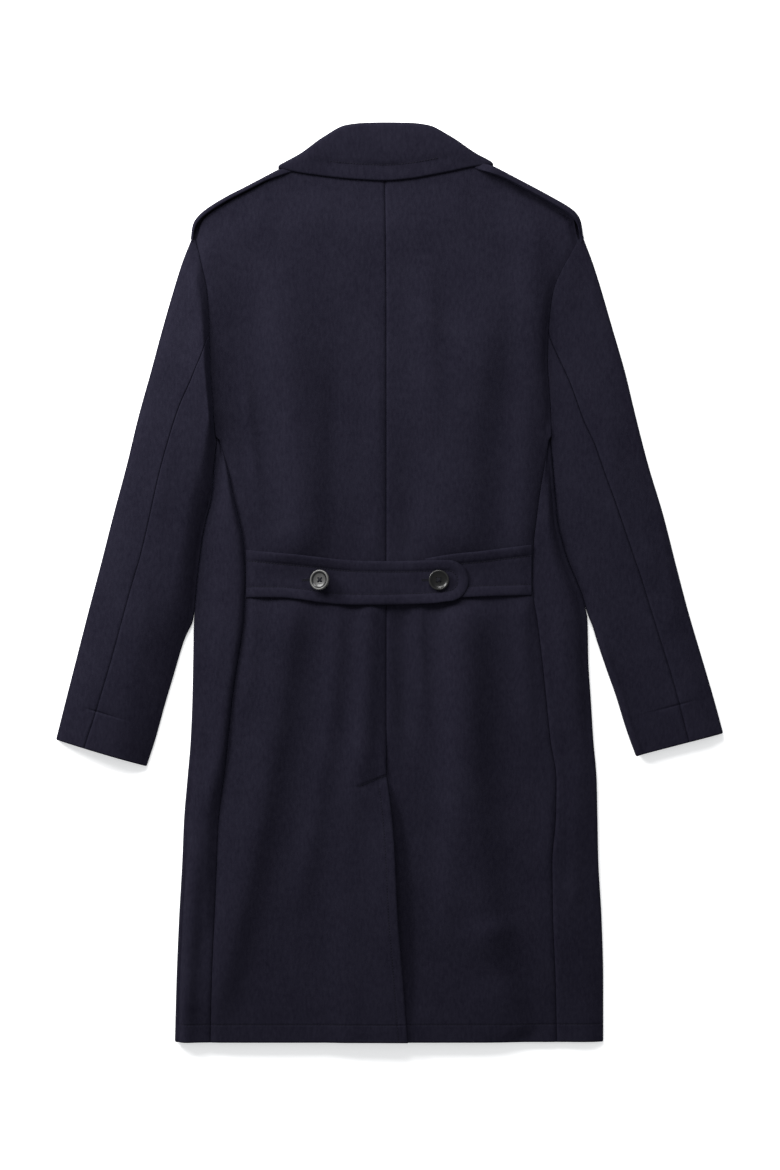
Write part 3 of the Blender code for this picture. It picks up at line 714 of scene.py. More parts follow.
def back_height(x, y):
    """Height of the back's outer face: flat at the neck and shoulders, puffed between its seams, folded."""
    away = FAR
    puff = BACK_PUFF
    above = smoothstep(UNDERARM_Y, UNDERARM_Y + UNDERARM_BLEND, y)
    for side in SIDES:
        seam = between(LONG_SEAM[side](y), ARM_SEAM[side](y), above)
        inside = np.maximum(OUTWARD[side] * (seam - x), 0.0)
        reach = between(*SEAM_DROP_REACH[side], above)
        drop = between(*SEAM_DROP[side], above) * shoulder_calm(side, y)
        puff = puff - drop * bell(inside, reach)
        away = np.minimum(away, inside)
    pressed = BELT_PRESS * plateau(BELT_PRESS_RISE, BELT_PRESS_FALL, y)
    folded = (folds_rise(BACK_FOLDS, x, y) + folds_rise(BACK_CREASES, x, y)) * (1 - pressed)
    above_underarm = smoothstep(UNDERARM_Y - ARMHOLE_CALM_START, UNDERARM_Y, y)
    folded = folded * (1 - above_underarm * (1 - smoothstep(0.0, ARMHOLE_CALM, away)))
    folded = folded - HEM_DROOP * smoothstep(*HEM_DROOP_X, x) * smoothstep(*HEM_DROOP_Y, y)
    below_edge = NECK_AND_SHOULDER(np.abs(x)) - y
    aside = smoothstep(*YOKE_X, np.abs(x))
    yoke = smoothstep(between(*YOKE_FLAT, aside), between(*YOKE_FADE, aside), below_edge)
    return BACK_TOP + (puff + folded + slow_waves(x, y) * smoothstep(0.0, WAVES_CALM, away)) * yoke


print("back above the floor at its middle:", round(float(back_height(np.array(0.0), np.array(0.0))), 1), "mm")

# %% [markdown]
# ## The vent
# Below the centre seam the halves open into a vent. The left half lies over the right one and gapes a little
# at its edge, and the right half sinks beside it, so that the edge throws a shadow. A short slanting tack
# holds the top of the vent, and the cloth steps down below it.

# %% The vent
VENT_TOP = -229.0
VENT_EDGE = (
    Edge(-4, -229), Edge(-1.2, -247), Edge(2.4, -275), Edge(5.4, -309), Edge(7.8, -357), Edge(10.2, -405),
    Edge(14.4, -453), Edge(18, -501), Edge(22, -552),
)
VENT_EDGE_X = column(VENT_EDGE, "y", "x")
UNDERLAP_X = -38.0
UNDERLAP_FULL_Y = -246.0
VENT_LIFT = LAYER + GAP
VENT_RAMP_X = (-80.0, -44.0)
VENT_RAMP_Y = (-226.0, -165.0)
VENT_GAPE = 10.5
VENT_GAPE_Y = (-375.0, 105.0)
VENT_GAPE_REACH = 30.0
VENT_GAPE_START = VENT_TOP - 40
VENT_HOLLOW = 4.2
VENT_HOLLOW_X = (4.0, 12.0)
VENT_HOLLOW_TOP = (VENT_TOP - 20, VENT_TOP - 80)
VENT_HOLLOW_END = (HEM_Y, HEM_Y + 90)
VENT_TACK = (Edge(-38, -244.5), Edge(-4, -231))
TACK_FALL = 16.0
TACK_OUTSIDE = 4.0
TACK_INSIDE = 2.0


def vent_lift(x, y, from_edge):
    """How much the left half rises over the right one, and gapes at the vent's edge."""
    lap = VENT_LIFT * smoothstep(*VENT_RAMP_X, x) * (1 - smoothstep(*VENT_RAMP_Y, y))
    middle, reach = VENT_GAPE_Y
    gape = bell(y - middle, reach) * bell(from_edge, VENT_GAPE_REACH)
    return lap + VENT_GAPE * gape * smoothstep(VENT_TOP, VENT_GAPE_START, y)


def vent_hollow(x, y):
    """How much the right half sinks beside the vent's edge, where the left half shades it."""
    aside, reach = VENT_HOLLOW_X
    beside = bell(x - VENT_EDGE_X(y) - aside, reach)
    return VENT_HOLLOW * beside * smoothstep(*VENT_HOLLOW_TOP, y) * smoothstep(*VENT_HOLLOW_END, y)


def below_tack(x, y):
    """A step down below the tack at the vent's top, which levels out again a little lower."""
    start, end = np.array(VENT_TACK, float)
    length = np.linalg.norm(end - start)
    ahead = (end - start) / length
    along = (x - start[0]) * ahead[0] + (y - start[1]) * ahead[1]
    below = (x - start[0]) * ahead[1] - (y - start[1]) * ahead[0]
    fall = (length - TACK_INSIDE, length + TACK_OUTSIDE)
    return stitched_step(below, TACK_FALL) * plateau((-TACK_OUTSIDE, TACK_INSIDE), fall, along)


print("vent:", round(VENT_TOP - HEM_Y), "mm long, edge at the hem at", VENT_EDGE[-1].x, "mm")

# %% [markdown]
# The rows of a panel run from the hem up and bend towards the neck and the shoulder, and its columns run from
# the middle to the outer seam. Both are close together where something is sewn, because a stitched line is
# only 2 mm wide, and wide apart elsewhere.

# %% Rows and columns of a panel
HEM_LINE = 21.6
HEM_FILL = (13.0, 16.0)
ROW_STEP = 4.5
TACK_ROWS = np.arange(-250.0, -226.0, 1.0)
SEAM_BEND = 7.0


def panel_rows():
    """Rows at a panel's outer edge and how far each bends: close at the hem, its stitches and the tack."""
    hem = np.concatenate([SEAM_STEPS, HEM_FILL, HEM_LINE + LINE_STEPS])
    body_length = UNDERARM_Y - HEM_Y
    body = np.linspace(hem[-1], body_length, 1 + round((body_length - hem[-1]) / ROW_STEP))[1:]
    arm_length = SHOULDER_Y - UNDERARM_Y
    armhole = np.linspace(0.0, arm_length, 1 + round(arm_length / ROW_STEP))[1:]
    body = body[(body + HEM_Y < TACK_ROWS[0] - 1) | (body + HEM_Y > TACK_ROWS[-1] + 1)]
    body = np.sort(np.concatenate([body, TACK_ROWS - HEM_Y]))
    heights = HEM_Y + np.concatenate([hem, body, body_length + armhole])
    return heights, (np.maximum(heights - UNDERARM_Y, 0.0) / arm_length) ** 2


def panel_plan(side, inner_x, edge_line, first, last, middle):
    """Plan of a panel from the middle to its outer seam, with distances in from both."""
    heights, bend = panel_rows()
    outer_x = body_seam(side, heights) + OUTWARD[side] * SEAM_OVERLAP
    width = np.abs(outer_x - inner_x)
    inward = across(width, first, last, middle)
    x = inner_x[:, None] + OUTWARD[side] * inward
    outward = width[:, None] - inward
    shift = (edge_line(np.abs(x)) - SHOULDER_Y) * smoothstep(0.0, SEAM_BEND, outward)
    return x, heights[:, None] + bend[:, None] * shift, inward, outward


print("rows of a panel:", panel_rows()[0].size)

# %% [markdown]
# With heights, rows and columns in place, each half is a wall whose outer face sinks along its seams, along
# the stitches of the hem and the vent, and in the gutter beside the shoulder strap.

# %% Both halves of the back
VENT_LINE = 11.0
VENT_FILL = (16.0, 19.0)
VENT_START = (VENT_TOP - 6, VENT_TOP + 6)
BACK_COLUMNS = 40
STITCH_SINK = 0.15
VENT_STITCH_SINK = 0.075
TACK_SINK = 0.4
STRAP_GUTTER = {"left": 0.4, "right": 1.1}
STRAP_GUTTER_X = (145.0, 165.0)
STRAP_GUTTER_ASIDE = 1.5
STRAP_GUTTER_REACH = 4.0


def back_half(side):
    """Half of the back with its seams, hem and vent."""
    heights = panel_rows()[0]
    seam_x = CENTRE_X(heights) - OUTWARD[side] * SEAM_OVERLAP
    if side == "left":
        inner_x = np.where(heights < VENT_TOP, VENT_EDGE_X(heights), seam_x)
    else:
        under = 1 - smoothstep(UNDERLAP_FULL_Y, VENT_TOP, heights)
        inner_x = seam_x + under * (UNDERLAP_X - seam_x)
    first = np.concatenate([SEAM_STEPS[:-2], VENT_LINE + LINE_STEPS, VENT_FILL])
    x, y, inward, outward = panel_plan(side, inner_x, NECK_AND_SHOULDER, first, SEAM_STEPS, BACK_COLUMNS)
    hem = y - HEM_Y
    on_vent = 1 - smoothstep(*VENT_START, y)
    sunk = CENTRE_SEAM_SINK * lip(inward, CENTRE_SEAM_REACH) * (1 - on_vent)
    sunk = sunk + LONG_SEAM_SINK[side] * lip(outward, LONG_SEAM_REACH[side]) * seam_calm(side, y)
    sunk = sunk + STITCH_SINK * channel(hem - HEM_LINE)
    top = back_height(x, y)
    if side == "left":
        top = top + vent_lift(x, y, inward)
        sunk = sunk + VENT_STITCH_SINK * channel(inward - VENT_LINE) * on_vent
        sunk = sunk + TACK_SINK * below_tack(x, y)
    else:
        top = top - vent_hollow(x, y)
    from_strap = nearest_on(np.array(STRAPS[side], float), x, y)[0] - STRAP_BACK_REACH[side]
    gutter = STRAP_GUTTER[side] * smoothstep(*STRAP_GUTTER_X, np.abs(x))
    sunk = np.maximum(sunk, gutter * bell(from_strap - STRAP_GUTTER_ASIDE, STRAP_GUTTER_REACH))
    outer, inner = sheet_faces(x, y, top)
    outer = sink(outer, inner, sunk)
    free = np.minimum(hem, np.where(on_vent > 0.5, inward, FAR))
    wall(f"back_{side}", *round_edge(outer, inner, free))


for half in SIDES:
    back_half(half)

# %% [markdown]
# ## The sides of the body
# Each side body starts at the long back seam, goes out to the coat's edge, turns round it and ends at the
# front seam underneath. Its section is a long flat C. The left one bulges next to its seam higher up and
# has a slanting fold towards the hem, and the right one falls off at its lower corner.

# %% Folds and fullness of the sides
SIDE_PUFF = {"left": (6.5, 7.5), "right": (7.0, 2.4)}
SIDE_CREST = {"left": (0.45, 2.2), "right": (1.9, 1.9)}
SIDE_CREST_Y = (-190.0, -380.0)
SIDE_PUFF_Y = (-230.0, -110.0)
SIDE_PUFF_WIDTH = (5.0, 29.0)
UNDERARM_SQUEEZE = 1.4
SIDE_TOP_Y = 177.0
SIDE_TOP_STEP = 2.0
UNDERARM_TUCK = 0.9
UNDERARM_TUCK_REACH = 6.0
SIDE_SEAM_SHARE = 0.12
SIDE_SEAM_CURVE = 1.6
SIDE_SEAM_COLUMNS = 5
SIDE_FLAT_COLUMNS = 13
SIDE_FOLDS = {
    "left": (
        Fold(-226, -110, -230, -220, -236, -330, 10, 2.4, 0.2),
        Fold(-226, -270, -236, -400, -250, -545, 16, 4.5, 0.3),
        Fold(-200, 10, -205, -70, -214, -150, 8, 1.2, 0.1),
        Fold(-210, -200, -216, -310, -218, -430, 8, 3.2, 0.3),
    ),
    "right": (
        Fold(205, -20, 208, -90, 212, -160, 9, 1.2, 0.2),
        Fold(228, -180, 226, -290, 222, -400, 10, 1.6, 0.1),
    ),
}
SIDE_ROLL = {"left": 0.5, "right": 0.8}
SIDE_ROLL_REACH = 18.0
SIDE_ROLL_Y = (-110.0, -30.0)
CORNER_DROOP = {"left": 1.0, "right": 5.5}
CORNER_DROOP_Y = (-340.0, -500.0)
SIDE_DROOP_CURVE = 1.3
SEAM_HEIGHT_SHARE = 0.8
SEAM_JOIN_WIDTH = 12.0
LEAST_FLAT = 0.6
SQUEEZE_Y = 135.0
SIDE_UNDER_COLUMNS = 6
print("folds on the sides:", {side: len(folds) for side, folds in SIDE_FOLDS.items()})

# %% [markdown]
# The wall turns round the coat's edge in a half circle, in ten steps from top to bottom. The same turn serves
# for the edges of the sleeves and the roll of the collar. Between the seam and the turn the side is puffed
# and folded, and at the seam it is as high as the back.

# %% Side bodies
ARC_STEPS = 11
TURN_ANGLE = np.linspace(math.pi / 2, -math.pi / 2, ARC_STEPS + 1)[1:-1]


def edge_turn(radius, middle):
    """For both faces of a wall that turns round an edge, top to bottom: distances in from it, and heights."""
    radii = (radius[:, None], radius[:, None] - WALL)
    cos, sin = np.cos(TURN_ANGLE), np.sin(TURN_ANGLE)
    return [(radii[0] - r * cos, middle[:, None] + r * sin) for r in radii]


def side_body(side):
    """The side of the body, from the long back seam round the edge to the front seam."""
    out = OUTWARD[side]
    heights = panel_rows()[0]
    y = np.append(heights[heights < SIDE_TOP_Y - SIDE_TOP_STEP], SIDE_TOP_Y)
    tucked = UNDERARM_TUCK * smoothstep(UNDERARM_Y - UNDERARM_TUCK_REACH, UNDERARM_Y, y)
    edge_x = SIDE_EDGE[side](y) + out * tucked
    width = np.abs(edge_x - LONG_SEAM[side](y)) + SEAM_OVERLAP
    squeeze = UNDERARM_SQUEEZE * smoothstep(SQUEEZE_Y, SIDE_TOP_Y, y)
    open_width = smoothstep(*SIDE_PUFF_WIDTH, width)
    roll = SIDE_ROLL[side] * smoothstep(*SIDE_ROLL_Y, y) * open_width
    droop = CORNER_DROOP[side] * smoothstep(*CORNER_DROOP_Y, y)
    middle = (BACK_TOP - roll - droop) / 2
    radius = middle - squeeze
    flat = np.maximum(width - radius, LEAST_FLAT)
    at_seam = SIDE_SEAM_SHARE * np.linspace(0.0, 1.0, SIDE_SEAM_COLUMNS) ** SIDE_SEAM_CURVE
    share = np.concatenate([at_seam, np.linspace(SIDE_SEAM_SHARE, 1.0, SIDE_FLAT_COLUMNS)[1:]])
    from_seam = flat[:, None] * share
    x = (edge_x - out * width)[:, None] + out * from_seam
    high, low = SIDE_PUFF[side]
    puff = between(low, high, smoothstep(*SIDE_PUFF_Y, y)) * open_width
    crest = between(*SIDE_CREST[side], smoothstep(*SIDE_CREST_Y, y))
    puff = puff[:, None] * np.sin(math.pi * share ** crest[:, None])
    calm = np.sin(math.pi * share) ** 0.5
    top = (BACK_TOP - squeeze)[:, None] + puff + folds_rise(SIDE_FOLDS[side], x, y[:, None]) * calm
    seam_top = back_height(LONG_SEAM[side](y), y) - BACK_TOP
    seam_top = seam_top + squeeze * (1 - smoothstep(0.0, SEAM_JOIN_WIDTH, flat))
    top = top + seam_top[:, None] * (1 - smoothstep(0.0, SEAM_HEIGHT_SHARE, share))
    top = top - roll[:, None] * lip(flat[:, None] - from_seam, SIDE_ROLL_REACH)
    top = top - droop[:, None] * share ** SIDE_DROOP_CURVE
    upper = sheet_faces(x, y[:, None], top)
    turned = [grid_points(edge_x[:, None] - out * d, y[:, None], z) for d, z in edge_turn(radius, middle)]
    back_share = np.linspace(0.0, 1.0, SIDE_UNDER_COLUMNS)
    under_x = edge_x[:, None] - out * (radius[:, None] + flat[:, None] * back_share)
    under = sheet_faces(under_x, y[:, None], squeeze[:, None], -WALL)
    outer, inner = (np.concatenate(faces, axis=1) for faces in zip(upper, turned, under))
    hem = outer[..., 1] - HEM_Y
    seam_distance = np.full(hem.shape, FAR)
    seam_distance[:, :share.size] = from_seam
    seam_distance[:, -SIDE_UNDER_COLUMNS:] = flat[:, None] * (1 - back_share)
    sunk = LONG_SEAM_SINK[side] * lip(seam_distance, LONG_SEAM_REACH[side]) * seam_calm(side, outer[..., 1])
    sunk[:, :share.size] += STITCH_SINK * channel(hem - HEM_LINE)[:, :share.size]
    outer = sink(outer, inner, sunk)
    wall(f"side_{side}", *round_edge(outer, inner, hem))


for half in SIDES:
    side_body(half)

# %% [markdown]
# ## The hidden fronts
# Nothing of the fronts shows from above, so they are finished plainly: two flat panels that rest on the
# floor, with rounded front edges and hems. The left one lies below, nearest to the floor, as the coat would
# be buttoned. Both rise over the ends of the collar and the straps, which lie between them and the floor.

# %% Fronts and the ends of the collar
RISE_Y = 400.0
RISE_DROP = 34.0
RISE_DROP_X = (100.0, 170.0)
RISE_LENGTH = 32.0
FRONT_LAP_RAMP_X = (32.0, 62.0)
FRONT_COLUMNS = 16
LEAF_EDGE_SHARES = np.array([0, 0.01, 0.03, 0.06, 0.1])
LEAF_EVEN_SHARES = np.linspace(0.16, 0.84, 9)
LeafEnd = namedtuple("LeafEnd", "neck_x neck_y edge_x edge_y")
LEAF_END = (
    LeafEnd(84, 511, 116, 497),
    LeafEnd(70, 484, 104, 470),
    LeafEnd(54, 455, 92, 441),
    LeafEnd(41, 431, 79, 412),
)


def front_share(x, y):
    """How far the front has risen, from 0 on the floor to 1 on top of the collar ends and straps."""
    full = RISE_Y - RISE_DROP * smoothstep(*RISE_DROP_X, np.abs(x))
    return smoothstep(full - RISE_LENGTH, full, y)


def front_half(side):
    """Half of the front: the left one lies on the floor, the right one rises over it at the middle."""
    heights, bend = panel_rows()
    inner_y = heights + bend * (NECK_POINT.y - SHOULDER_Y)
    inner_x = -OUTWARD[side] * FRONT_EDGE_X(inner_y)

    def shoulder(x):
        return NECK_AND_SHOULDER(np.maximum(x, NECK_POINT.x))

    x, y, inward, outward = panel_plan(side, inner_x, shoulder, SEAM_STEPS, SEAM_STEPS, FRONT_COLUMNS)
    share = front_share(x, y)
    if side == "right":
        share = 1 - (1 - share) * smoothstep(*FRONT_LAP_RAMP_X, x)
    outer, inner = sheet_faces(x, y, LAYER * share + WALL)
    inner = sink(inner, outer, SEAM_SINK * lip(outward, SEAM_REACH))
    wall(f"front_{side}", *round_edge(outer, inner, np.minimum(y - HEM_Y, inward)))


def collar_end(side):
    """The end of the collar leaf that lies on the front, beside the neck."""
    share = np.concatenate([LEAF_EDGE_SHARES, LEAF_EVEN_SHARES, 1 - LEAF_EDGE_SHARES[::-1]])
    places = np.linspace(0.0, 1.0, len(LEAF_END))
    neck_x, neck_y, edge_x, edge_y = (smooth_line(places, values)(share) for values in zip(*LEAF_END))
    neck = np.stack([OUTWARD[side] * neck_x, neck_y], axis=-1)
    edge = np.stack([OUTWARD[side] * edge_x, edge_y], axis=-1)
    plan = neck[:, None, :] + (edge - neck)[:, None, :] * share[None, :, None]
    outer, inner = sheet_faces(plan[..., 0], plan[..., 1], WALL)
    width = np.linalg.norm(edge - neck, axis=1)[:, None]
    length = np.linalg.norm(edge[-1] - edge[0])
    free = np.minimum(width * (1 - share), length * np.minimum(share, 1 - share)[:, None])
    wall(f"collar_front_{side}", *round_edge(outer, inner, free))


for half in SIDES:
    front_half(half)
    collar_end(half)

# %% [markdown]
# ## The sleeves
# A two piece sleeve has an upper piece, which turns round the outer edge, and an under piece, which turns
# round the inner one. They meet along a seam on the back of the arm. The sections go from the armhole, where
# they bulge like its curve, to the cuff, which is turned up inside: its edge shows as a faint step.

# %% Sections of both sleeves
Sleeve = namedtuple("Sleeve", "outer_x outer_y inner_x inner_y seam")
SLEEVES = {
    "left": (
        Sleeve(-238, 412, -209, 171, 0.469),
        Sleeve(-248, 387, -212, 145, 0.46),
        Sleeve(-259, 353, -215, 113, 0.43),
        Sleeve(-273, 305, -220, 82, 0.395),
        Sleeve(-287, 253, -227, 51, 0.375),
        Sleeve(-302, 199, -230, 20, 0.36),
        Sleeve(-316, 141, -234, -9, 0.355),
        Sleeve(-332, 81, -237, -43, 0.355),
        Sleeve(-347, 22, -248, -73, 0.355),
        Sleeve(-362, -35, -259, -110, 0.355),
        Sleeve(-375, -86, -270, -147, 0.35),
        Sleeve(-388, -137, -281, -187, 0.335),
        Sleeve(-401, -189, -292, -221, 0.31),
    ),
    "right": (
        Sleeve(233, 413, 195, 172, 0.469),
        Sleeve(243, 387, 198, 145, 0.465),
        Sleeve(254, 353, 201, 113, 0.465),
        Sleeve(268, 305, 204, 82, 0.48),
        Sleeve(283, 253, 209, 51, 0.45),
        Sleeve(296, 199, 219, 22, 0.42),
        Sleeve(311, 141, 231, -9, 0.40),
        Sleeve(329, 81, 240, -38, 0.39),
        Sleeve(344, 22, 249, -70, 0.375),
        Sleeve(359, -35, 260, -103, 0.365),
        Sleeve(374, -86, 272, -137, 0.36),
        Sleeve(389, -137, 284, -176, 0.37),
        Sleeve(401, -181, 296, -209, 0.39),
    ),
}
SLEEVE_FOLDS = {
    "left": (
        Fold(-246, 372, -252, 345, -262, 310, 8, 1.2, 0.2),
        Fold(-262, 190, -272, 120, -286, 50, 12, 1.6, 0.2),
        Fold(-330, 60, -322, 30, -300, 8, 10, 1.3, 0.0),
        Fold(-345, -30, -330, -60, -306, -78, 11, 1.4, 0.1),
        Fold(-352, -90, -362, -130, -372, -170, 12, 1.2, 0.1),
        Fold(-282, 50, -302, -69, -330, -185, 20, 1.8, 0.3),
    ),
    "right": (
        Fold(239, 388, 246, 350, 256, 305, 9, 3.2, -0.2),
        Fold(258, 200, 268, 130, 284, 60, 12, 1.6, -0.1),
        Fold(326, 70, 318, 40, 296, 14, 12, 0.8, 0.0),
        Fold(342, -20, 326, -52, 304, -72, 14, 0.7, 0.1),
        Fold(346, -80, 356, -120, 368, -160, 14, 0.8, 0.1),
        Fold(324, 95, 335, 25, 346, -60, 8, 3.0, -0.2),
    ),
}
print("folds on the sleeves:", {side: len(folds) for side, folds in SLEEVE_FOLDS.items()})

# %% [markdown]
# Places along the arm are counted in stations, the rows of the table of sections, from 0 at the armhole to
# 12 at the cuff. The left sleeve is full: it arches high and its edges roll down. The right one lies
# flatter, and its inner edge stands up near the cuff. The crest, the inner roll and its reach each have a
# value for the upper arm, up to station 6, and one for the lower arm, from station 9 on.

# %% Fullness of the sleeves
Fullness = namedtuple(
    "Fullness",
    "arch cuff_arch arch_stations crest inner_roll roll_reach roll_stations outer_roll cap_puff armhole_sink"
    " seam_reach seam_sink cuff_sink cuff_spread cuff_spacing",
)
FULLNESS = {
    "left": Fullness(
        arch=13.0, cuff_arch=9.0, arch_stations=0.9, crest=(0.76, 0.6),
        inner_roll=(3.2, 3.2), roll_reach=(26.0, 42.0), roll_stations=(1.5, 4.0), outer_roll=3.6,
        cap_puff=4.5, armhole_sink=0.78, seam_reach=3.2, seam_sink=0.62,
        cuff_sink=0.42, cuff_spread=(10.0, 26.0), cuff_spacing=53.0,
    ),
    "right": Fullness(
        arch=4.0, cuff_arch=3.0, arch_stations=5.0, crest=(0.3, 0.2),
        inner_roll=(3.2, -5.0), roll_reach=(26.0, 50.0), roll_stations=(3.0, 5.0), outer_roll=0.0,
        cap_puff=0.0, armhole_sink=0.25, seam_reach=4.2, seam_sink=0.8,
        cuff_sink=0.25, cuff_spread=(14.0, 34.0), cuff_spacing=47.6,
    ),
}
CHANGE_STATIONS = (6.0, 9.0)
CUFF_ARCH_STATIONS = (6.0, 12.0)
OUTER_ROLL_STATIONS = (1.0, 3.0)
OUTER_ROLL_REACH = 34.0
CAP_STATIONS = 4
CAP_PUFF_RISE = 20.0
CAP_PUFF_REACH = 60.0
CAP_PUFF_SHARE = (0.45, 0.75)
CAP_JOIN_REACH = 40.0
CAP_JOIN_SHARE = (0.8, 0.98)
CUFF_TURN_UP = 47.0
CUFF_STEP = -0.15
CUFF_STEP_Y = (CUFF_TURN_UP - 3, CUFF_TURN_UP + 3)
CUFF_CHANNEL = 1.3
print("turned up inside the cuffs:", CUFF_TURN_UP, "mm")

# %% [markdown]
# First come the rows along the arm, close together at the armhole, at the edge inside the cuff and at the
# cuff itself. The inner edge lags behind the outer one, so that the rows lie square to the arm, and catches
# up at the cuff. Higher up it follows the side of the body, which it lies against.

# %% Rows along the arm
Arm = namedtuple(
    "Arm",
    "side t outer_edge outer_away radius middle inner_edge inner_away inner_radius start end width seam",
)
SLEEVE_ROWS = 100
ARMHOLE_SPACING = 27.0
ROWS_SPAN = (0.45, 1.1)
CUFF_FILL = np.linspace(41, 12, 8)
INNER_CATCH_UP = 0.39
CATCH_UP_STATIONS = (1.0, 4.5)
HUG_STATIONS = (6.6, 7.6)
HUG_GAP = 0.1


def edge_normals(points, away_from):
    """Unit directions square to a line of points, turned away from another line."""
    along = np.gradient(points, axis=0)
    square = np.stack([along[:, 1], -along[:, 0]], axis=-1)
    square /= np.linalg.norm(square, axis=1, keepdims=True)
    return square * np.sign(np.sum(square * (points - away_from), axis=1, keepdims=True))


def edge_rolls(side, t):
    """How far the outer and the inner edge of a sleeve roll down at stations along the arm."""
    full = FULLNESS[side]
    outer_roll = full.outer_roll * smoothstep(*OUTER_ROLL_STATIONS, t)
    inner_roll = between(*full.inner_roll, smoothstep(*CHANGE_STATIONS, t))
    return outer_roll, inner_roll * smoothstep(*full.roll_stations, t)


def arm_rows(side):
    """The rows of a sleeve: stations, both edges with directions and radii, width, and place of the seam."""
    table = SLEEVES[side]
    last = len(table) - 1
    columns = zip(Sleeve._fields, zip(*table))
    lines = {name: smooth_line(range(len(table)), values) for name, values in columns}
    cuff = np.concatenate([CUFF_TURN_UP + LINE_STEPS[::-1], CUFF_FILL, SEAM_STEPS[-2::-1]])
    cuff = last - cuff / FULLNESS[side].cuff_spacing
    even = np.linspace(ROWS_SPAN[0], last - ROWS_SPAN[1], SLEEVE_ROWS)
    t = np.concatenate([SEAM_STEPS / ARMHOLE_SPACING, even, cuff])
    outer_edge = np.stack([lines["outer_x"](t), lines["outer_y"](t)], axis=-1)
    before_cuff = last - t
    t_inner = t - INNER_CATCH_UP * before_cuff * (1 - smoothstep(*CATCH_UP_STATIONS, before_cuff))
    inner_y = lines["inner_y"](t_inner)
    hug = 1 - smoothstep(*HUG_STATIONS, t_inner)
    beside_body = SIDE_EDGE[side](inner_y) - OUTWARD[side] * HUG_GAP
    inner_edge = np.stack([between(lines["inner_x"](t_inner), beside_body, hug), inner_y], axis=-1)
    outer_roll, inner_roll = edge_rolls(side, t)
    radius = (BACK_TOP - outer_roll - LAYER * front_share(*outer_edge.T)) / 2
    inner_radius = (BACK_TOP - inner_roll) / 2
    outer_away = edge_normals(outer_edge, inner_edge)
    inner_away = edge_normals(inner_edge, outer_edge)
    start = outer_edge - radius[:, None] * outer_away
    end = inner_edge - inner_radius[:, None] * inner_away
    return Arm(
        side, t, outer_edge, outer_away, radius, BACK_TOP - outer_roll - radius, inner_edge, inner_away,
        inner_radius, start, end, np.linalg.norm(end - start, axis=1)[:, None], lines["seam"](t)[:, None],
    )


ARMS = {side: arm_rows(side) for side in SIDES}
print("rows of a sleeve:", {side: arm.t.size for side, arm in ARMS.items()})

# %% [markdown]
# The layer that shows is worked out at shares of the width, from 0 at the outer edge to 1 at the inner one.
# Near the armhole its rows bulge like the armhole's curve, and its height goes over into that of the back.

# %% Form of the layer that shows
def arm_plan(arm, share):
    """Plan points of all rows at shares of their width, bulging like the armhole near it."""
    plain = arm.start[:, None, :] + (arm.end - arm.start)[:, None, :] * share[..., None]
    cap_y = SHOULDER_Y - share * (SHOULDER_Y - UNDERARM_Y)
    straight = arm.start[0] + (arm.end[0] - arm.start[0]) * share[..., None]
    bulge = np.stack([ARM_SEAM[arm.side](cap_y), cap_y], axis=-1) - straight
    return plain + (1 - smoothstep(0, CAP_STATIONS, arm.t))[:, None, None] * bulge


def above_cuff(arm, plan):
    """Distance of plan points from the line of the cuff."""
    along = arm.inner_edge[-1] - arm.outer_edge[-1]
    square = np.array([-along[1], along[0]]) / np.linalg.norm(along)
    return np.abs((plan - arm.outer_edge[-1]) @ square)


def arched(share, crest):
    """Height of a section that rises from both edges to a crest, as a share of the crest."""
    rising = 0.5 * share / crest
    falling = 1 - 0.5 * (1 - share) / (1 - crest)
    return np.sin(math.pi * np.where(share < crest, rising, falling))


def arm_top(arm, share, plan):
    """Height of the layer that shows: arched, folded, rolled down at its edges and joined to the back."""
    full = FULLNESS[arm.side]
    t = arm.t[:, None]
    x, y = plan[..., 0], plan[..., 1]
    arch = between(full.arch, full.cuff_arch, smoothstep(*CUFF_ARCH_STATIONS, t))
    arch = arch * smoothstep(0, full.arch_stations, t)
    top = BACK_TOP + arch * arched(np.clip(share, 0, 1), np.interp(t, CHANGE_STATIONS, full.crest))
    calm = np.clip(np.sin(math.pi * share), 0, 1) ** 0.5 * smoothstep(0, 1, t)
    top = top + (folds_rise(SLEEVE_FOLDS[arm.side], x, y) + slow_waves(x, y)) * calm
    outer_roll, inner_roll = edge_rolls(arm.side, t)
    roll_reach = np.interp(t, CHANGE_STATIONS, full.roll_reach)
    top = top - inner_roll * lip((1 - share) * arm.width, roll_reach)
    top = top - outer_roll * lip(share * arm.width, OUTER_ROLL_REACH)
    top = top + CUFF_STEP * (1 - smoothstep(*CUFF_STEP_Y, above_cuff(arm, plan)))
    from_armhole = np.linalg.norm(plan - plan[0], axis=-1)
    cap = np.maximum(bell(from_armhole, CAP_PUFF_REACH) - bell(from_armhole, CAP_PUFF_RISE), 0.0)
    top = top + full.cap_puff * cap * (1 - smoothstep(*CAP_PUFF_SHARE, share))
    seam_rise = (back_height(x[0], y[0]) - BACK_TOP) * (1 - smoothstep(*CAP_JOIN_SHARE, share[0]))
    return top + seam_rise * bell(from_armhole, CAP_JOIN_REACH)


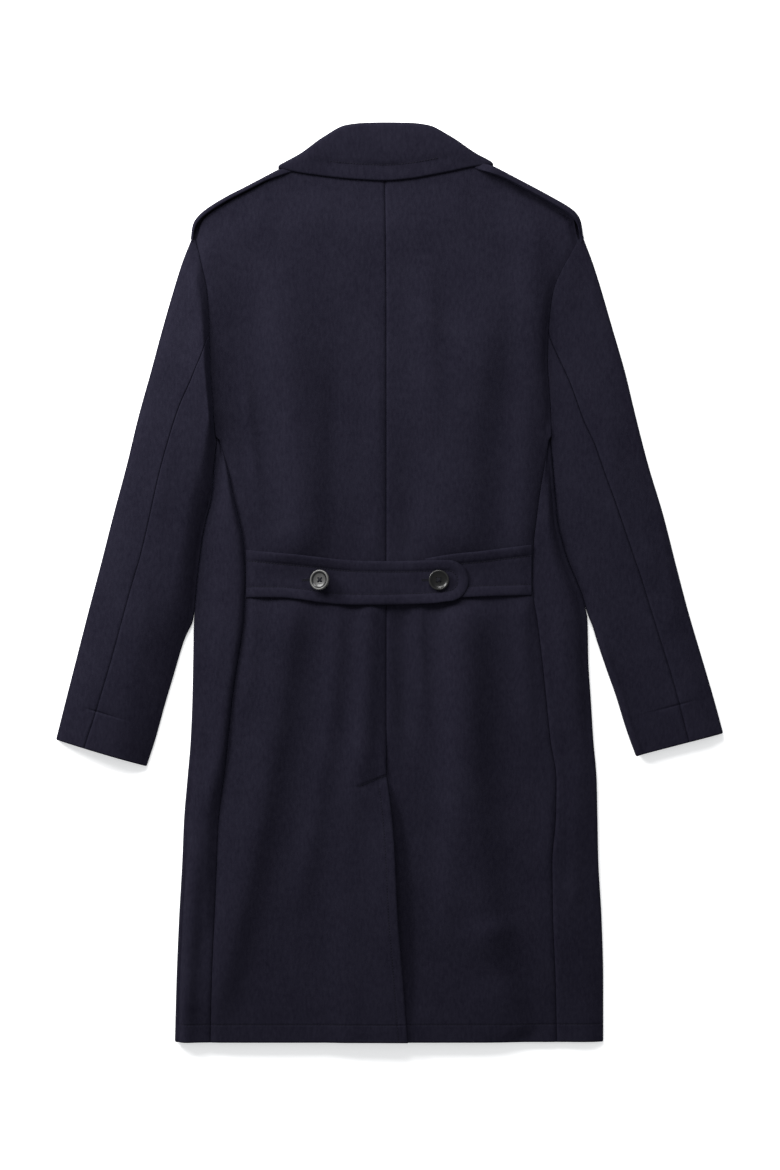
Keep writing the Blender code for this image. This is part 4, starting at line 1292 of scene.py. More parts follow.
def arm_sunk(arm, share, plan):
    """How far that layer is drawn in: along its seam, at the armhole, and over the edge inside the cuff."""
    full = FULLNESS[arm.side]
    from_armhole = np.linalg.norm(plan - plan[0], axis=-1)
    at_armhole = full.armhole_sink * lip(from_armhole, LONG_SEAM_REACH[arm.side])
    at_armhole = at_armhole * shoulder_calm(arm.side, plan[..., 1])
    from_seam = np.abs(share - arm.seam) * arm.width
    at_seam = full.seam_sink * lip(from_seam, full.seam_reach)
    shown = bell(from_seam, np.where(share < arm.seam, *full.cuff_spread))
    at_cuff = full.cuff_sink * shown * channel(above_cuff(arm, plan) - CUFF_TURN_UP, CUFF_CHANNEL)
    return np.maximum(at_seam, at_armhole) + at_cuff


print("widest at the armhole:", {side: round(float(arm.width.max())) for side, arm in ARMS.items()}, "mm")

# %% [markdown]
# Each piece has three parts in one grid: its share of the layer that shows, the turn round its edge, and its
# share of the layer on the floor, up to the seam at the front of the arm.

# %% Both sleeves
FRONT_SEAM_SHARE = (0.743, 0.74)
UPPER_COLUMNS = 16
UNDER_COLUMNS = 22
FLOOR_COLUMNS = 10
EDGE_ONLY = np.array([0.0])


def upper_layer(arm, share):
    """Outer and inner points of the layer that shows."""
    plan = arm_plan(arm, share)
    outer, inner = sheet_faces(plan[..., 0], plan[..., 1], arm_top(arm, share, plan))
    return sink(outer, inner, arm_sunk(arm, share, plan)), inner


def lower_layer(arm, share):
    """Outer and inner points of the layer on the floor."""
    x, y = np.moveaxis(arm_plan(arm, share), -1, 0)
    return sheet_faces(x, y, LAYER * front_share(x, y), -WALL)


def turned_edge(edge, away, radius, middle):
    """Outer and inner points round the outer or the inner edge."""
    turns = edge_turn(radius, middle)
    plans = [edge[:, None, :] - away[:, None, :] * inward[..., None] for inward, _ in turns]
    return [np.concatenate([plan, lift[..., None]], axis=-1) for plan, (_, lift) in zip(plans, turns)]


def sleeve(side):
    """Both pieces of a sleeve, each a grid of rows along the arm."""
    arm = ARMS[side]
    upper_width = arm.seam * arm.width
    from_seam_upper = across(upper_width[:, 0], SEAM_STEPS, EDGE_ONLY, UPPER_COLUMNS)
    from_seam_under = across((arm.width - upper_width)[:, 0], SEAM_STEPS, EDGE_ONLY, UNDER_COLUMNS)
    front_seam = between(*FRONT_SEAM_SHARE, arm.t / arm.t.max())[:, None]
    even = np.linspace(0.0, 1.0, FLOOR_COLUMNS)
    parts = {
        "upper": (
            upper_layer(arm, arm.seam - (from_seam_upper - SEAM_OVERLAP) / arm.width),
            turned_edge(arm.outer_edge, arm.outer_away, arm.radius, arm.middle),
            lower_layer(arm, front_seam * even),
        ),
        "under": (
            upper_layer(arm, arm.seam + (from_seam_under - SEAM_OVERLAP) / arm.width),
            turned_edge(arm.inner_edge, arm.inner_away, arm.inner_radius, arm.inner_radius),
            lower_layer(arm, 1 - (1 - front_seam) * even),
        ),
    }
    for name, layers in parts.items():
        outer, inner = (np.concatenate(faces, axis=1) for faces in zip(*layers))
        wall(f"sleeve_{name}_{side}", *round_edge(outer, inner, above_cuff(arm, outer[..., :2])))


for half in SIDES:
    sleeve(half)

# %% [markdown]
# ## The collar
# The collar stands up at the neck, rolls over and falls as a leaf on the back. Each section across it is a
# hook: leaf, roll and stand. A row of stitches crosses the leaf above its edge and fades out at both sides.

# %% Sections of the collar
Collar = namedtuple("Collar", "x roll_y leaf_y")
COLLAR = (
    Collar(-133.5, 500.5, 496.5),
    Collar(-130, 502.5, 496),
    Collar(-107, 515, 491.5),
    Collar(-79, 535, 487.5),
    Collar(-52, 549, 484.5),
    Collar(-30, 551.5, 483),
    Collar(-5, 552, 482),
    Collar(25, 551.5, 484.5),
    Collar(46, 549, 488),
    Collar(74, 535, 493.5),
    Collar(104, 515, 499.5),
    Collar(121, 506, 501),
    Collar(124.5, 503.5, 500.5),
)
roll_line = column(COLLAR, "x", "roll_y")
leaf_line = column(COLLAR, "x", "leaf_y")
print("collar:", round(COLLAR[-1].x - COLLAR[0].x), "mm wide")

# %% [markdown]
# The hook is built in one go, from the leaf's edge over the roll to the neck. The leaf is a little crowned
# and steps down below its stitches, and the roll gets lower towards both ends.

# %% Collar
COLLAR_MIDDLE_X = -4.5
COLLAR_TIP_RAMP = (80.0, 122.0)
ROLL_TOP = 17.0
TIP_ROLL_TOP = 13.3
COLLAR_LINE = 18.6
COLLAR_LINE_X = (-72.0, 58.0)
COLLAR_CROWN = 1.3
COLLAR_SINK = 0.3
COLLAR_STEP_REACH = 14.0
COLLAR_LINE_FADE = 30.0
COLLAR_FILL = (8.0, 12.0)
COLLAR_WAVES = 0.5
COLLAR_WAVES_Y = 400.0
COLLAR_COLUMNS = 90
FULL_LEAF = 60.0
LEAF_UNIT = 70.0
LEAST_LEAF = 0.5
LEAF_ROWS = 10
STAND_ROWS = 6
STAND_GAP = 0.4


def collar():
    """Back part of the collar: the leaf on the back, the roll at the top, and the stand down to the neck."""
    first, last = COLLAR[0].x, COLLAR[-1].x
    even = np.linspace(first + END_FILL, last - END_FILL, COLLAR_COLUMNS)
    x = np.concatenate([first + END_STEPS, even, last - END_STEPS[::-1]])
    tip = smoothstep(*COLLAR_TIP_RAMP, np.abs(x - COLLAR_MIDDLE_X))
    roll_top = between(ROLL_TOP, TIP_ROLL_TOP, tip)
    radius = (roll_top - BACK_LOW) / 2
    roll_y = roll_line(x)
    leaf = np.maximum(roll_y - leaf_line(x) - radius, LEAST_LEAF)
    edge = np.concatenate([SEAM_STEPS[:-2], COLLAR_FILL, COLLAR_LINE + LINE_STEPS]) / LEAF_UNIT
    share = np.concatenate([edge, np.linspace(edge[-1], 1.0, LEAF_ROWS)[1:]])
    from_edge = leaf[:, None] * share
    crown = COLLAR_CROWN * np.minimum(leaf[:, None] / FULL_LEAF, 1.0)
    top = LEAF_TOP + (roll_top - LEAF_TOP)[:, None] * smoothstep(0.0, 1.0, share)
    top = top + crown * np.sin(math.pi * share)
    top = top + COLLAR_WAVES * slow_waves(x[:, None], COLLAR_WAVES_Y + from_edge)
    upper = sheet_faces(x[:, None], (roll_y - radius - leaf)[:, None] + from_edge, top)
    turns = edge_turn(radius, roll_top - radius)
    turned = [grid_points(x[:, None], roll_y[:, None] - inward, lift) for inward, lift in turns]
    neck_y = NECK_AND_SHOULDER(np.abs(x)) + STAND_GAP
    depth = np.maximum(roll_y - radius - neck_y, LEAST_LEAF)
    stand_y = (roll_y - radius)[:, None] - depth[:, None] * np.linspace(0.0, 1.0, STAND_ROWS)
    stand = sheet_faces(x[:, None], stand_y, BACK_LOW, -WALL)
    outer, inner = (np.concatenate(faces, axis=1) for faces in zip(upper, turned, stand))
    distance = np.full(outer.shape[:2], FAR)
    distance[:, :share.size] = from_edge
    low, high = COLLAR_LINE_X
    shown = plateau((low - COLLAR_LINE_FADE, low), (high, high + COLLAR_LINE_FADE), x)
    step = stitched_step(COLLAR_LINE - distance, COLLAR_STEP_REACH)
    outer = sink(outer, inner, COLLAR_SINK * step * shown[:, None])
    from_end = np.minimum(x - x[0], x[-1] - x)[:, None]
    wall("collar", *round_edge(outer, inner, np.minimum(distance, from_end)))


collar()

# %% [markdown]
# ## The shoulder straps
# A strap lies along each shoulder, mostly on the hidden front. On the back only its edge shows, as a narrow
# raised band from under the collar to the sleeve. It is a wall that wraps round the shoulder edge.

# %% Shoulder straps
STRAP_ACROSS = Edge(0.48, -0.877)
STRAP_FRONT_REACH = 38.0
STRAP_TUCK = {"left": 16.0, "right": 20.0}
STRAP_TOP = {"left": 13.4, "right": 20.5}
STRAP_START_TOP = LEAF_TOP - 1.4
STRAP_END_TOP = 10.6
STRAP_TURN = 4.2
STRAP_START_REACH = 5.0
STRAP_EDGE_LOW = BACK_TOP + 0.2
STRAP_START = 30.0
STRAP_TUCK_LENGTH = 45.0
STRAP_RISE = (2.0, 16.0)
STRAP_FALL = (34.0, 3.0)
STRAP_INNER_TURN = 1.8
STRAP_EDGE_REACH = 1.6
STRAP_ROWS = 44
STRAP_BACK_COLUMNS = 7
STRAP_FRONT_COLUMNS = 12


def lengths_along(line):
    """Length from the start of a row of points to each of them."""
    return np.concatenate([[0.0], np.cumsum(np.linalg.norm(np.diff(line, axis=0), axis=1))])


def strap(side):
    """A shoulder strap: a narrow part on the back, round the shoulder edge, and its width on the front."""
    line = np.array(STRAPS[side], float)
    length = lengths_along(line)
    last = length[-1]
    even = np.linspace(END_FILL, last - END_FILL, STRAP_ROWS)
    along = np.concatenate([END_STEPS, even, last - END_STEPS[::-1]])
    path = np.stack([smooth_line(length, line[:, i])(along) for i in (0, 1)], axis=-1)
    square = np.array([-OUTWARD[side] * STRAP_ACROSS.x, STRAP_ACROSS.y])
    towards_collar = (line[0] - line[1]) / np.linalg.norm(line[0] - line[1])
    reach = STRAP_BACK_REACH[side] + STRAP_START_REACH * (1 - smoothstep(0.0, STRAP_START, along))
    back = between(reach[:, None], STRAP_TURN, np.linspace(0.0, 1.0, STRAP_BACK_COLUMNS))
    front = np.linspace(STRAP_TURN, STRAP_FRONT_REACH, STRAP_FRONT_COLUMNS)
    tuck = STRAP_TUCK[side] * (1 - smoothstep(0.0, STRAP_TUCK_LENGTH, along))
    fallen = smoothstep(last - STRAP_FALL[0], last - STRAP_FALL[1], along)
    high = between(STRAP_TOP[side], STRAP_END_TOP, fallen)
    high = high + (STRAP_START_TOP - STRAP_TOP[side]) * (1 - smoothstep(*STRAP_RISE, along))
    on_back = np.ones(STRAP_BACK_COLUMNS)
    lean = np.concatenate([on_back, np.linspace(1.0, 0.0, TURN_ANGLE.size), np.zeros(STRAP_FRONT_COLUMNS)])
    faces = []
    for turn, thick in ((STRAP_TURN, 0.0), (STRAP_INNER_TURN, WALL)):
        round_and_front = np.concatenate([STRAP_TURN - turn * np.cos(TURN_ANGLE), front])
        inward = np.concatenate([back, np.tile(round_and_front, (along.size, 1))], axis=1)
        lift = (high / 2)[:, None] + (high / 2 - thick)[:, None] * np.sin(TURN_ANGLE)
        drop = np.maximum(high - thick - STRAP_EDGE_LOW, 0.0)[:, None] if thick else 0.0
        top = (high - thick)[:, None] - drop * np.linspace(1.0, 0.0, STRAP_BACK_COLUMNS)
        top = np.broadcast_to(top, back.shape)
        low = np.full((along.size, STRAP_FRONT_COLUMNS), thick)
        plan = path[:, None, :] + inward[..., None] * square
        plan = plan + (tuck[:, None] * lean)[..., None] * towards_collar
        faces.append(np.concatenate([plan, np.concatenate([top, lift, low], axis=1)[..., None]], axis=-1))
    outer, inner = faces
    from_side = np.full(outer.shape[:2], FAR)
    from_side[:, :STRAP_BACK_COLUMNS] = reach[:, None] - back
    from_side[:, -STRAP_FRONT_COLUMNS:] = STRAP_FRONT_REACH - front
    free = np.minimum(from_side, np.minimum(along, along[-1] - along)[:, None])
    wall(f"strap_{side}", *round_edge(outer, inner, free, STRAP_EDGE_REACH))


for half in SIDES:
    strap(half)

# %% [markdown]
# ## The half belt
# Two tabs are sewn into the long back seams and button over each other. They are two layers of cloth sewn
# together, so they are thicker and flatter than the back, lie over its folds, and have a raised edge outside
# a row of stitches. The left tab lies over and ends in a round tip.

# %% The tabs of the half belt
Tab = namedtuple("Tab", "x top_y low_y")
BELTS = {
    "left": (
        Tab(-172, 39.2, -18), Tab(-131, 35.2, -18.2), Tab(-107, 33, -20.4), Tab(-83, 30.2, -24),
        Tab(-59, 27.6, -26.4), Tab(-35, 26, -27), Tab(1, 25.6, -26.8), Tab(49, 26.6, -25.2),
        Tab(70, 27, -22.6),
    ),
    "right": (
        Tab(42, 28.5, -19), Tab(60.6, 31.8, -18.6), Tab(84.6, 35.2, -18), Tab(108.6, 37.4, -17),
        Tab(132.6, 40.6, -16.2), Tab(156.6, 43.6, -15.6), Tab(170, 45.2, -15),
    ),
}
BELT_GRID_STEP = 2.0
BELT_GRID_X = np.arange(-176.0, 177.0, BELT_GRID_STEP)
BELT_GRID_Y = np.arange(-40.0, 57.0, BELT_GRID_STEP)
BRIDGE_STEPS = (3, 9)
BRIDGE_SPREAD = 1.6
INSIDE_GRID = 1.001


def soft_cover(height):
    """A cover that bridges a grid of heights: the highest value nearby, then smoothed over the same reach."""
    cover = height
    for axis, steps in enumerate(BRIDGE_STEPS):
        size = cover.shape[axis]
        padding = [(0, 0), (0, 0)]
        padding[axis] = (2 * steps, 2 * steps)
        padded = np.pad(cover, padding, mode="edge")
        window = range(2 * steps + 1)
        highest = np.max([padded.take(range(i, i + size + 2 * steps), axis) for i in window], axis=0)
        weights = bell(np.linspace(-BRIDGE_SPREAD, BRIDGE_SPREAD, len(window)), 1.0)
        shifted = [weight * highest.take(range(i, i + size), axis) for i, weight in zip(window, weights)]
        cover = sum(shifted) / weights.sum()
    return cover


def on_grid(values, x, y):
    """Values of the grid under the half belt, at any places between its points."""
    along = np.clip((x - BELT_GRID_X[0]) / BELT_GRID_STEP, 0, BELT_GRID_X.size - INSIDE_GRID)
    up = np.clip((y - BELT_GRID_Y[0]) / BELT_GRID_STEP, 0, BELT_GRID_Y.size - INSIDE_GRID)
    i, j = along.astype(int), up.astype(int)
    s, t = along - i, up - j
    low = values[j, i] * (1 - s) + values[j, i + 1] * s
    return low * (1 - t) + (values[j + 1, i] * (1 - s) + values[j + 1, i + 1] * s) * t


BELT_SEAT = soft_cover(back_height(*np.meshgrid(BELT_GRID_X, BELT_GRID_Y)))
print("the half belt's seat:", round(BELT_SEAT.min(), 1), "to", round(BELT_SEAT.max(), 1), "mm high")

# %% [markdown]
# A tab gets thinner where it is pressed into the long seam, and comes down to the back there. The left one
# rises over the right one where they overlap.

# %% Height of the tabs
BELT_WALL = 2.3
BELT_END_WALL = 1.2
BELT_END_REACH = 15.0
BELT_CLEAR = 0.2
BELT_LAP_RAMP = (4.0, 34.0)
BELT_SEAM_REACH = 26.0


def belt_wall(side, x):
    """Thickness of a tab, which is pressed thin where it goes into the long seam."""
    from_end = x - BELTS["left"][0].x if side == "left" else BELTS["right"][-1].x - x
    return between(BELT_END_WALL, BELT_WALL, smoothstep(0.0, BELT_END_REACH, from_end))


def belt_top(side, x, y):
    """Height of the half belt's outer face: it bridges the folds under it, and laps over the under tab."""
    back = back_height(x, y)
    from_seam = np.minimum(x - body_seam("left", y), body_seam("right", y) - x)
    bridge = np.maximum(on_grid(BELT_SEAT, x, y), back)
    seat = between(back, bridge, smoothstep(0.0, BELT_SEAM_REACH, from_seam))
    top = seat + BELT_CLEAR + belt_wall(side, x)
    if side == "left":
        top = top + (BELT_CLEAR + BELT_WALL) * smoothstep(*BELT_LAP_RAMP, x)
    return top


print("left tab at its middle:", round(belt_top("left", np.zeros(1), np.zeros(1))[0], 1), "mm high")

# %% [markdown]
# A tab is a grid between its upper and its lower edge. A welt stands up between each edge and its row of
# stitches. At the tip of the left tab both edges run together in a half circle.

# %% Both tabs
BELT_LINE = 13.0
BELT_FILL = (8.5,)
BELT_WELT = 0.9
BELT_SINK = 0.2
BELT_CHANNEL = 2.0
BELT_EDGE_REACH = 3.0
BELT_STEP = 3.0
BELT_ROWS = 8
UNDER_TAB_END = 0.2
TIP_LAST_ANGLE = 88.0
TIP_STEPS = 40
BELT_OUTLINE = {}


def belt_tab(side):
    """One tab of the half belt, with a rounded tip on the one that lies over."""
    table = BELTS[side]
    first, last = table[0], table[-1]
    x = np.linspace(first.x, last.x, 1 + round((last.x - first.x) / BELT_STEP))
    top_y = column(table, "x", "top_y")(x)
    low_y = column(table, "x", "low_y")(x)
    if side == "left":
        angle = np.radians(np.linspace(0, TIP_LAST_ANGLE, TIP_STEPS + 1))[1:]
        half = (last.top_y - last.low_y) / 2
        middle = (last.top_y + last.low_y) / 2
        x = np.concatenate([x, last.x + half * np.sin(angle)])
        top_y = np.concatenate([top_y, middle + half * np.cos(angle)])
        low_y = np.concatenate([low_y, middle - half * np.cos(angle)])
    edge = np.concatenate([SEAM_STEPS[:-2], BELT_FILL, BELT_LINE + LINE_STEPS])
    full = (top_y - low_y).max()
    even = np.linspace(edge[-1], full - edge[-1], BELT_ROWS)[1:-1]
    share = np.concatenate([edge, even, full - edge[::-1]]) / full
    y = low_y[:, None] + (top_y - low_y)[:, None] * share
    grid = np.broadcast_to(x[:, None], y.shape)
    top_line = np.stack([x, top_y], axis=-1)
    low_line = np.stack([x, low_y], axis=-1)
    if side == "left":
        from_edge = nearest_on(np.concatenate([top_line, low_line[::-1]]), grid, y)[0]
    else:
        from_edge = np.minimum(nearest_on(top_line, grid, y)[0], nearest_on(low_line, grid, y)[0])
        from_edge = np.minimum(from_edge, grid - x[0] + UNDER_TAB_END)
    BELT_OUTLINE[side] = (top_line, low_line)
    welt = BELT_WELT * np.sin(math.pi * np.clip(from_edge / BELT_LINE, 0, 1))
    thickness = belt_wall(side, grid)
    outer, inner = sheet_faces(grid, y, belt_top(side, grid, y), thickness)
    outer[..., 2] += welt * thickness / BELT_WALL
    outer = sink(outer, inner, BELT_SINK * channel(from_edge - BELT_LINE, BELT_CHANNEL))
    outer, inner = round_edge(outer, inner, from_edge, BELT_EDGE_REACH)
    wall(f"belt_{side}", outer, inner)
    clear = float((inner[..., 2] - back_height(grid, y)).min())
    print(f"belt_{side}: clears the back by {clear:.2f} mm")


for half in SIDES:
    belt_tab(half)

# %% [markdown]
# ## Stitching
# One stitch is modelled: a six sided cylinder on its side, whose ends are drawn out, narrowed and pushed down
# where the thread goes into the cloth. Its copies are then laid along each line, on the surface below it. A
# dashed texture would be lighter, but it would lie flat and add nothing to the mesh.

# %% One stitch
STITCH_PITCH = 3.4
STITCH_SIDES = 6
STITCH_RADIUS = 0.36
STITCH_BODY = 1.5
STITCH_END = 0.6
STITCH_DIP = 0.55
STITCH_TAPER = 0.5
FACING = 0.9


def select_faces(piece, wanted):
    """Selects the faces of a mesh for which a test of the normal is true, and enters edit mode."""
    bpy.ops.object.mode_set(mode="EDIT")
    bpy.ops.mesh.select_mode(type="FACE")
    bpy.ops.mesh.select_all(action="DESELECT")
    bpy.ops.object.mode_set(mode="OBJECT")
    for face in piece.data.polygons:
        face.select = wanted(face.normal)
    bpy.ops.object.mode_set(mode="EDIT")


def add_cylinder(vertices, radius, depth, location=(0, 0, 0), rotation=(0, 0, 0)):
    """A cylinder whose place and turn are applied to its mesh, as the start of a piece."""
    bpy.ops.mesh.primitive_cylinder_add(
        vertices=vertices, radius=radius, depth=depth, location=location, rotation=rotation,
    )
    bpy.ops.object.transform_apply(location=True, rotation=True, scale=True)
    return bpy.context.object


def model_stitch():
    """Models a stitch along X in millimetres with operators and returns its points and faces."""
    bpy.ops.object.select_all(action="DESELECT")
    stitch = add_cylinder(STITCH_SIDES, STITCH_RADIUS, STITCH_BODY, rotation=(0, math.pi / 2, 0))
    for way in (-1.0, 1.0):
        select_faces(stitch, lambda normal: normal.x * way > FACING)
        move = (way * STITCH_END, 0.0, -STITCH_DIP * STITCH_RADIUS)
        bpy.ops.mesh.extrude_region_move(TRANSFORM_OT_translate={"value": move})
        bpy.ops.transform.resize(value=(1.0, STITCH_TAPER, STITCH_TAPER))
        bpy.ops.object.mode_set(mode="OBJECT")
    points = np.array([vertex.co for vertex in stitch.data.vertices])
    faces = [list(face.vertices) for face in stitch.data.polygons]
    bpy.data.objects.remove(stitch)
    return points, faces


stitch_points, stitch_faces = model_stitch()
print("one stitch:", len(stitch_points), "points,", len(stitch_faces), "faces")

# %% [markdown]
# A ray from above finds the surface under each place of a line. The stitch is turned along the line and
# square to the surface, and a stitch whose place misses the piece is left out.

# %% Lay stitches along a line
STITCH_LIFT = 0.12
LOOK_FROM = 0.1
STEEPEST = 0.3


def surface_of(piece):
    """A tree that finds the highest point of a piece below a place of the plan."""
    mesh = piece.data
    return BVHTree.FromPolygons([v.co for v in mesh.vertices], [p.vertices for p in mesh.polygons])


def resample(line, pitch):
    """Even steps along a line of plan points: the points and the directions there."""
    line = np.asarray(line, float)
    length = lengths_along(line)
    count = max(2, int(length[-1] / pitch))
    places = (np.arange(count) + 0.5) * length[-1] / count

    def at(where):
        return np.stack([np.interp(where, length, line[:, i]) for i in (0, 1)], axis=-1)

    return at(places), at(places + 0.5) - at(places - 0.5)


def lay_stitches(name, piece, lines, pitch=STITCH_PITCH, turn=0.0, size=1.0, material=THREAD):
    """Copies the stitch along lines of the plan, on the surface of a piece, as one joined mesh."""
    tree = surface_of(piece)
    lifted = stitch_points * size + np.array([0.0, 0.0, STITCH_LIFT])
    all_points = []
    all_faces = []
    for line in lines:
        for place, direction in zip(*resample(line, pitch)):
            above = Vector((place[0] * MM, place[1] * MM, LOOK_FROM))
            spot, normal, _, _ = tree.ray_cast(above, Vector((0, 0, -1)))
            if spot is None or normal.z < STEEPEST:
                continue
            ahead = Matrix.Rotation(turn, 3, "Z") @ Vector((direction[0], direction[1], 0.0))
            ahead = (ahead - normal * ahead.dot(normal)).normalized()
            turned = np.array(Matrix((ahead, normal.cross(ahead), normal)).transposed())
            start = len(all_points) * len(stitch_points)
            all_points.append(lifted @ turned.T * MM + np.array(spot))
            all_faces.extend([[start + i for i in face] for face in stitch_faces])
    stitches = add_mesh(name, np.concatenate(all_points), all_faces)
    join_coat(stitches, material)
    print(f"{name}: {len(all_points)} stitches")
    return stitches


print("one stitch every", STITCH_PITCH, "mm")

# %% [markdown]
# The lines follow what is sewn: the hem of the back and of the side bodies, the edge of the vent with a short
# slanting tack at its top, the collar leaf, and the two edges and the tip of the half belt.

# %% Stitch every line
def inset(line, distance, inward):
    """A line moved sideways in the plan by a distance, towards the inward direction."""
    line = np.asarray(line, float)
    along = np.gradient(line, axis=0)
    square = np.stack([-along[:, 1], along[:, 0]], axis=-1)
    square /= np.linalg.norm(square, axis=1, keepdims=True)
    square *= np.sign(square @ np.asarray(inward, float))[:, None]
    return line + distance * square


HEM_LINE_Y = HEM_Y + HEM_LINE
FROM_SEAM = 2.0
FROM_EDGE = 6.0
FROM_VENT = 4.0
BELOW_TACK = 14.0
ABOVE_HEM = 1.0
LINE_POINTS = 40
SEWN = {}
vent_x = float(VENT_EDGE_X(HEM_LINE_Y))
for side in SIDES:
    seam = float(LONG_SEAM[side](HEM_LINE_Y))
    edge = float(SIDE_EDGE[side](HEM_LINE_Y))
    middle = vent_x - VENT_LINE if side == "left" else vent_x + FROM_VENT
    line = [(seam - OUTWARD[side] * FROM_SEAM, HEM_LINE_Y), (middle, HEM_LINE_Y)]
    SEWN[f"back_{side}"] = [lay_stitches(f"hem_stitches_{side}", CLOTH[f"back_{side}"], [line])]
    line = [(seam + OUTWARD[side] * FROM_SEAM, HEM_LINE_Y), (edge - OUTWARD[side] * FROM_EDGE, HEM_LINE_Y)]
    SEWN[f"side_{side}"] = [lay_stitches(f"side_hem_stitches_{side}", CLOTH[f"side_{side}"], [line])]
vent_y = np.linspace(VENT_TOP - BELOW_TACK, HEM_Y + ABOVE_HEM, LINE_POINTS)
vent_edge = np.stack([VENT_EDGE_X(vent_y), vent_y], axis=-1)
vent_lines = [inset(vent_edge, VENT_LINE, (-1, 0)), VENT_TACK]
SEWN["back_left"].append(lay_stitches("vent_stitches", CLOTH["back_left"], vent_lines))
collar_x = np.linspace(*COLLAR_LINE_X, LINE_POINTS)
collar_row = np.stack([collar_x, leaf_line(collar_x) + COLLAR_LINE], axis=-1)
SEWN["collar"] = [lay_stitches("collar_stitches", CLOTH["collar"], [collar_row])]
for side in SIDES:
    top_line, low_line = BELT_OUTLINE[side]
    lines = [inset(top_line, BELT_LINE, (0, -1)), inset(low_line, BELT_LINE, (0, 1))]
    SEWN[f"belt_{side}"] = [lay_stitches(f"belt_stitches_{side}", CLOTH[f"belt_{side}"], lines)]

# %% [markdown]
# ## Buttonholes
# Each button goes through a slit left of it, of which a short end shows. A slit is bound with close stitches
# square to it on both sides. The same stitch is used, smaller and turned.

# %% Bound slits beside the buttons
Button = namedtuple("Button", "x y tilt nod slit")
BUTTONS = {"left": Button(-83, 3, -24, -6, 10.0), "right": Button(59, 3, 0, 0, 8.5)}
BUTTON_RADIUS = 12.0
SLIT_HALF = 0.75
SLIT_UNDER_BUTTON = 4.0
SLIT_PITCH = 0.55
SLIT_STITCH_SIZE = 0.55
for side, spec in BUTTONS.items():
    span = (spec.x - BUTTON_RADIUS - spec.slit, spec.x - SLIT_UNDER_BUTTON)
    rows = [[(x, spec.y + way * SLIT_HALF) for x in span] for way in (-1, 1)]
    slit = lay_stitches(
        f"buttonhole_{side}", CLOTH["belt_left"], rows,
        SLIT_PITCH, math.pi / 2, SLIT_STITCH_SIZE, BUTTON_THREAD,
    )
    SEWN["belt_left"].append(slit)

# %% [markdown]
# ## Buttons
# A button is turned on a lathe: a disc with a rounded edge, a raised rim and a dish with four holes. By hand
# it starts as a cylinder. The top face is inset and pushed down for the dish, four thin cylinders are cut out
# of it with Boolean modifiers, and the edges are bevelled.

# %% Model one button
BUTTON_HEIGHT = 3.0
BOWL_STEPS = (
    (0.35, 0.35), (0.5, 0.2), (0.5, 0.0), (0.4, -0.2), (0.35, -0.5),
    (1.3, -0.75), (1.4, -0.5), (1.6, -0.3), (1.6, -0.12),
)
BUTTON_DISH = -sum(rise for _, rise in BOWL_STEPS)
HOLE_RADIUS = 1.2
HOLE_SPREAD = 2.9
BUTTON_BACK = (3.0, -0.4)
BEVEL_WIDTH = 0.2
BEVEL_ANGLE = 50.0
BUTTON_SMOOTH_ANGLE = 40.0
BUTTON_SIDES = 72
HOLE_SIDES = 20


def turned_place(distance, turn, height=0.0):
    """A place in metres at a distance in millimetres from the axis of a button."""
    return (distance * math.cos(turn) * MM, distance * math.sin(turn) * MM, height)


def cut_hole(button, cutter):
    """Cuts one cylinder out of a button."""
    cut = button.modifiers.new("hole", "BOOLEAN")
    cut.operation = "DIFFERENCE"
    cut.object = cutter
    bpy.ops.object.select_all(action="DESELECT")
    bpy.context.view_layer.objects.active = button
    button.select_set(True)
    bpy.ops.object.modifier_apply(modifier=cut.name)
    bpy.data.objects.remove(cutter)


def model_button(name):
    """A button that stands on the origin, in metres, with its holes cut."""
    bpy.ops.object.select_all(action="DESELECT")
    middle = (0, 0, BUTTON_HEIGHT * MM / 2)
    button = add_cylinder(BUTTON_SIDES, BUTTON_RADIUS * MM, BUTTON_HEIGHT * MM, middle)
    button.name = name
    for way, steps in ((1.0, BOWL_STEPS), (-1.0, (BUTTON_BACK,))):
        select_faces(button, lambda normal: normal.z * way > FACING)
        for inward, rise in steps:
            bpy.ops.mesh.inset(thickness=inward * MM)
            bpy.ops.transform.translate(value=(0, 0, rise * MM))
        bpy.ops.object.mode_set(mode="OBJECT")
    for i in range(4):
        place = turned_place(HOLE_SPREAD, math.tau * (i + 0.5) / 4)
        bpy.ops.object.select_all(action="DESELECT")
        cut_hole(button, add_cylinder(HOLE_SIDES, HOLE_RADIUS * MM, 4 * BUTTON_HEIGHT * MM, place))
    rounded = button.modifiers.new("rounded edges", "BEVEL")
    rounded.width = BEVEL_WIDTH * MM
    rounded.segments = 2
    rounded.limit_method = "ANGLE"
    rounded.angle_limit = math.radians(BEVEL_ANGLE)
    bpy.ops.object.modifier_apply(modifier=rounded.name)
    bpy.ops.object.shade_smooth_by_angle(angle=math.radians(BUTTON_SMOOTH_ANGLE))
    radius = button.data.attributes.new("radius", "FLOAT", "POINT")
    for vertex in button.data.vertices:
        radius.data[vertex.index].value = math.hypot(vertex.co.x, vertex.co.y) / (BUTTON_RADIUS * MM)
    return button


print("dish of a button:", round(BUTTON_DISH, 2), "mm deep")

# %% [markdown]
# The left button leans to one side and the right one lies flat. Each is lifted until its lowest edge clears
# the half belt. Its place and tilt go into its mesh, so that the object itself stays at the origin.

# %% Place both buttons
RIM_PLACES = 48


def button_drop(side):
    """How far a tilted button's lowest edge lies below its middle."""
    spec = BUTTONS[side]
    upright = math.cos(math.radians(spec.tilt)) * math.cos(math.radians(spec.nod))
    return BUTTON_RADIUS * math.sqrt(1 - upright ** 2)


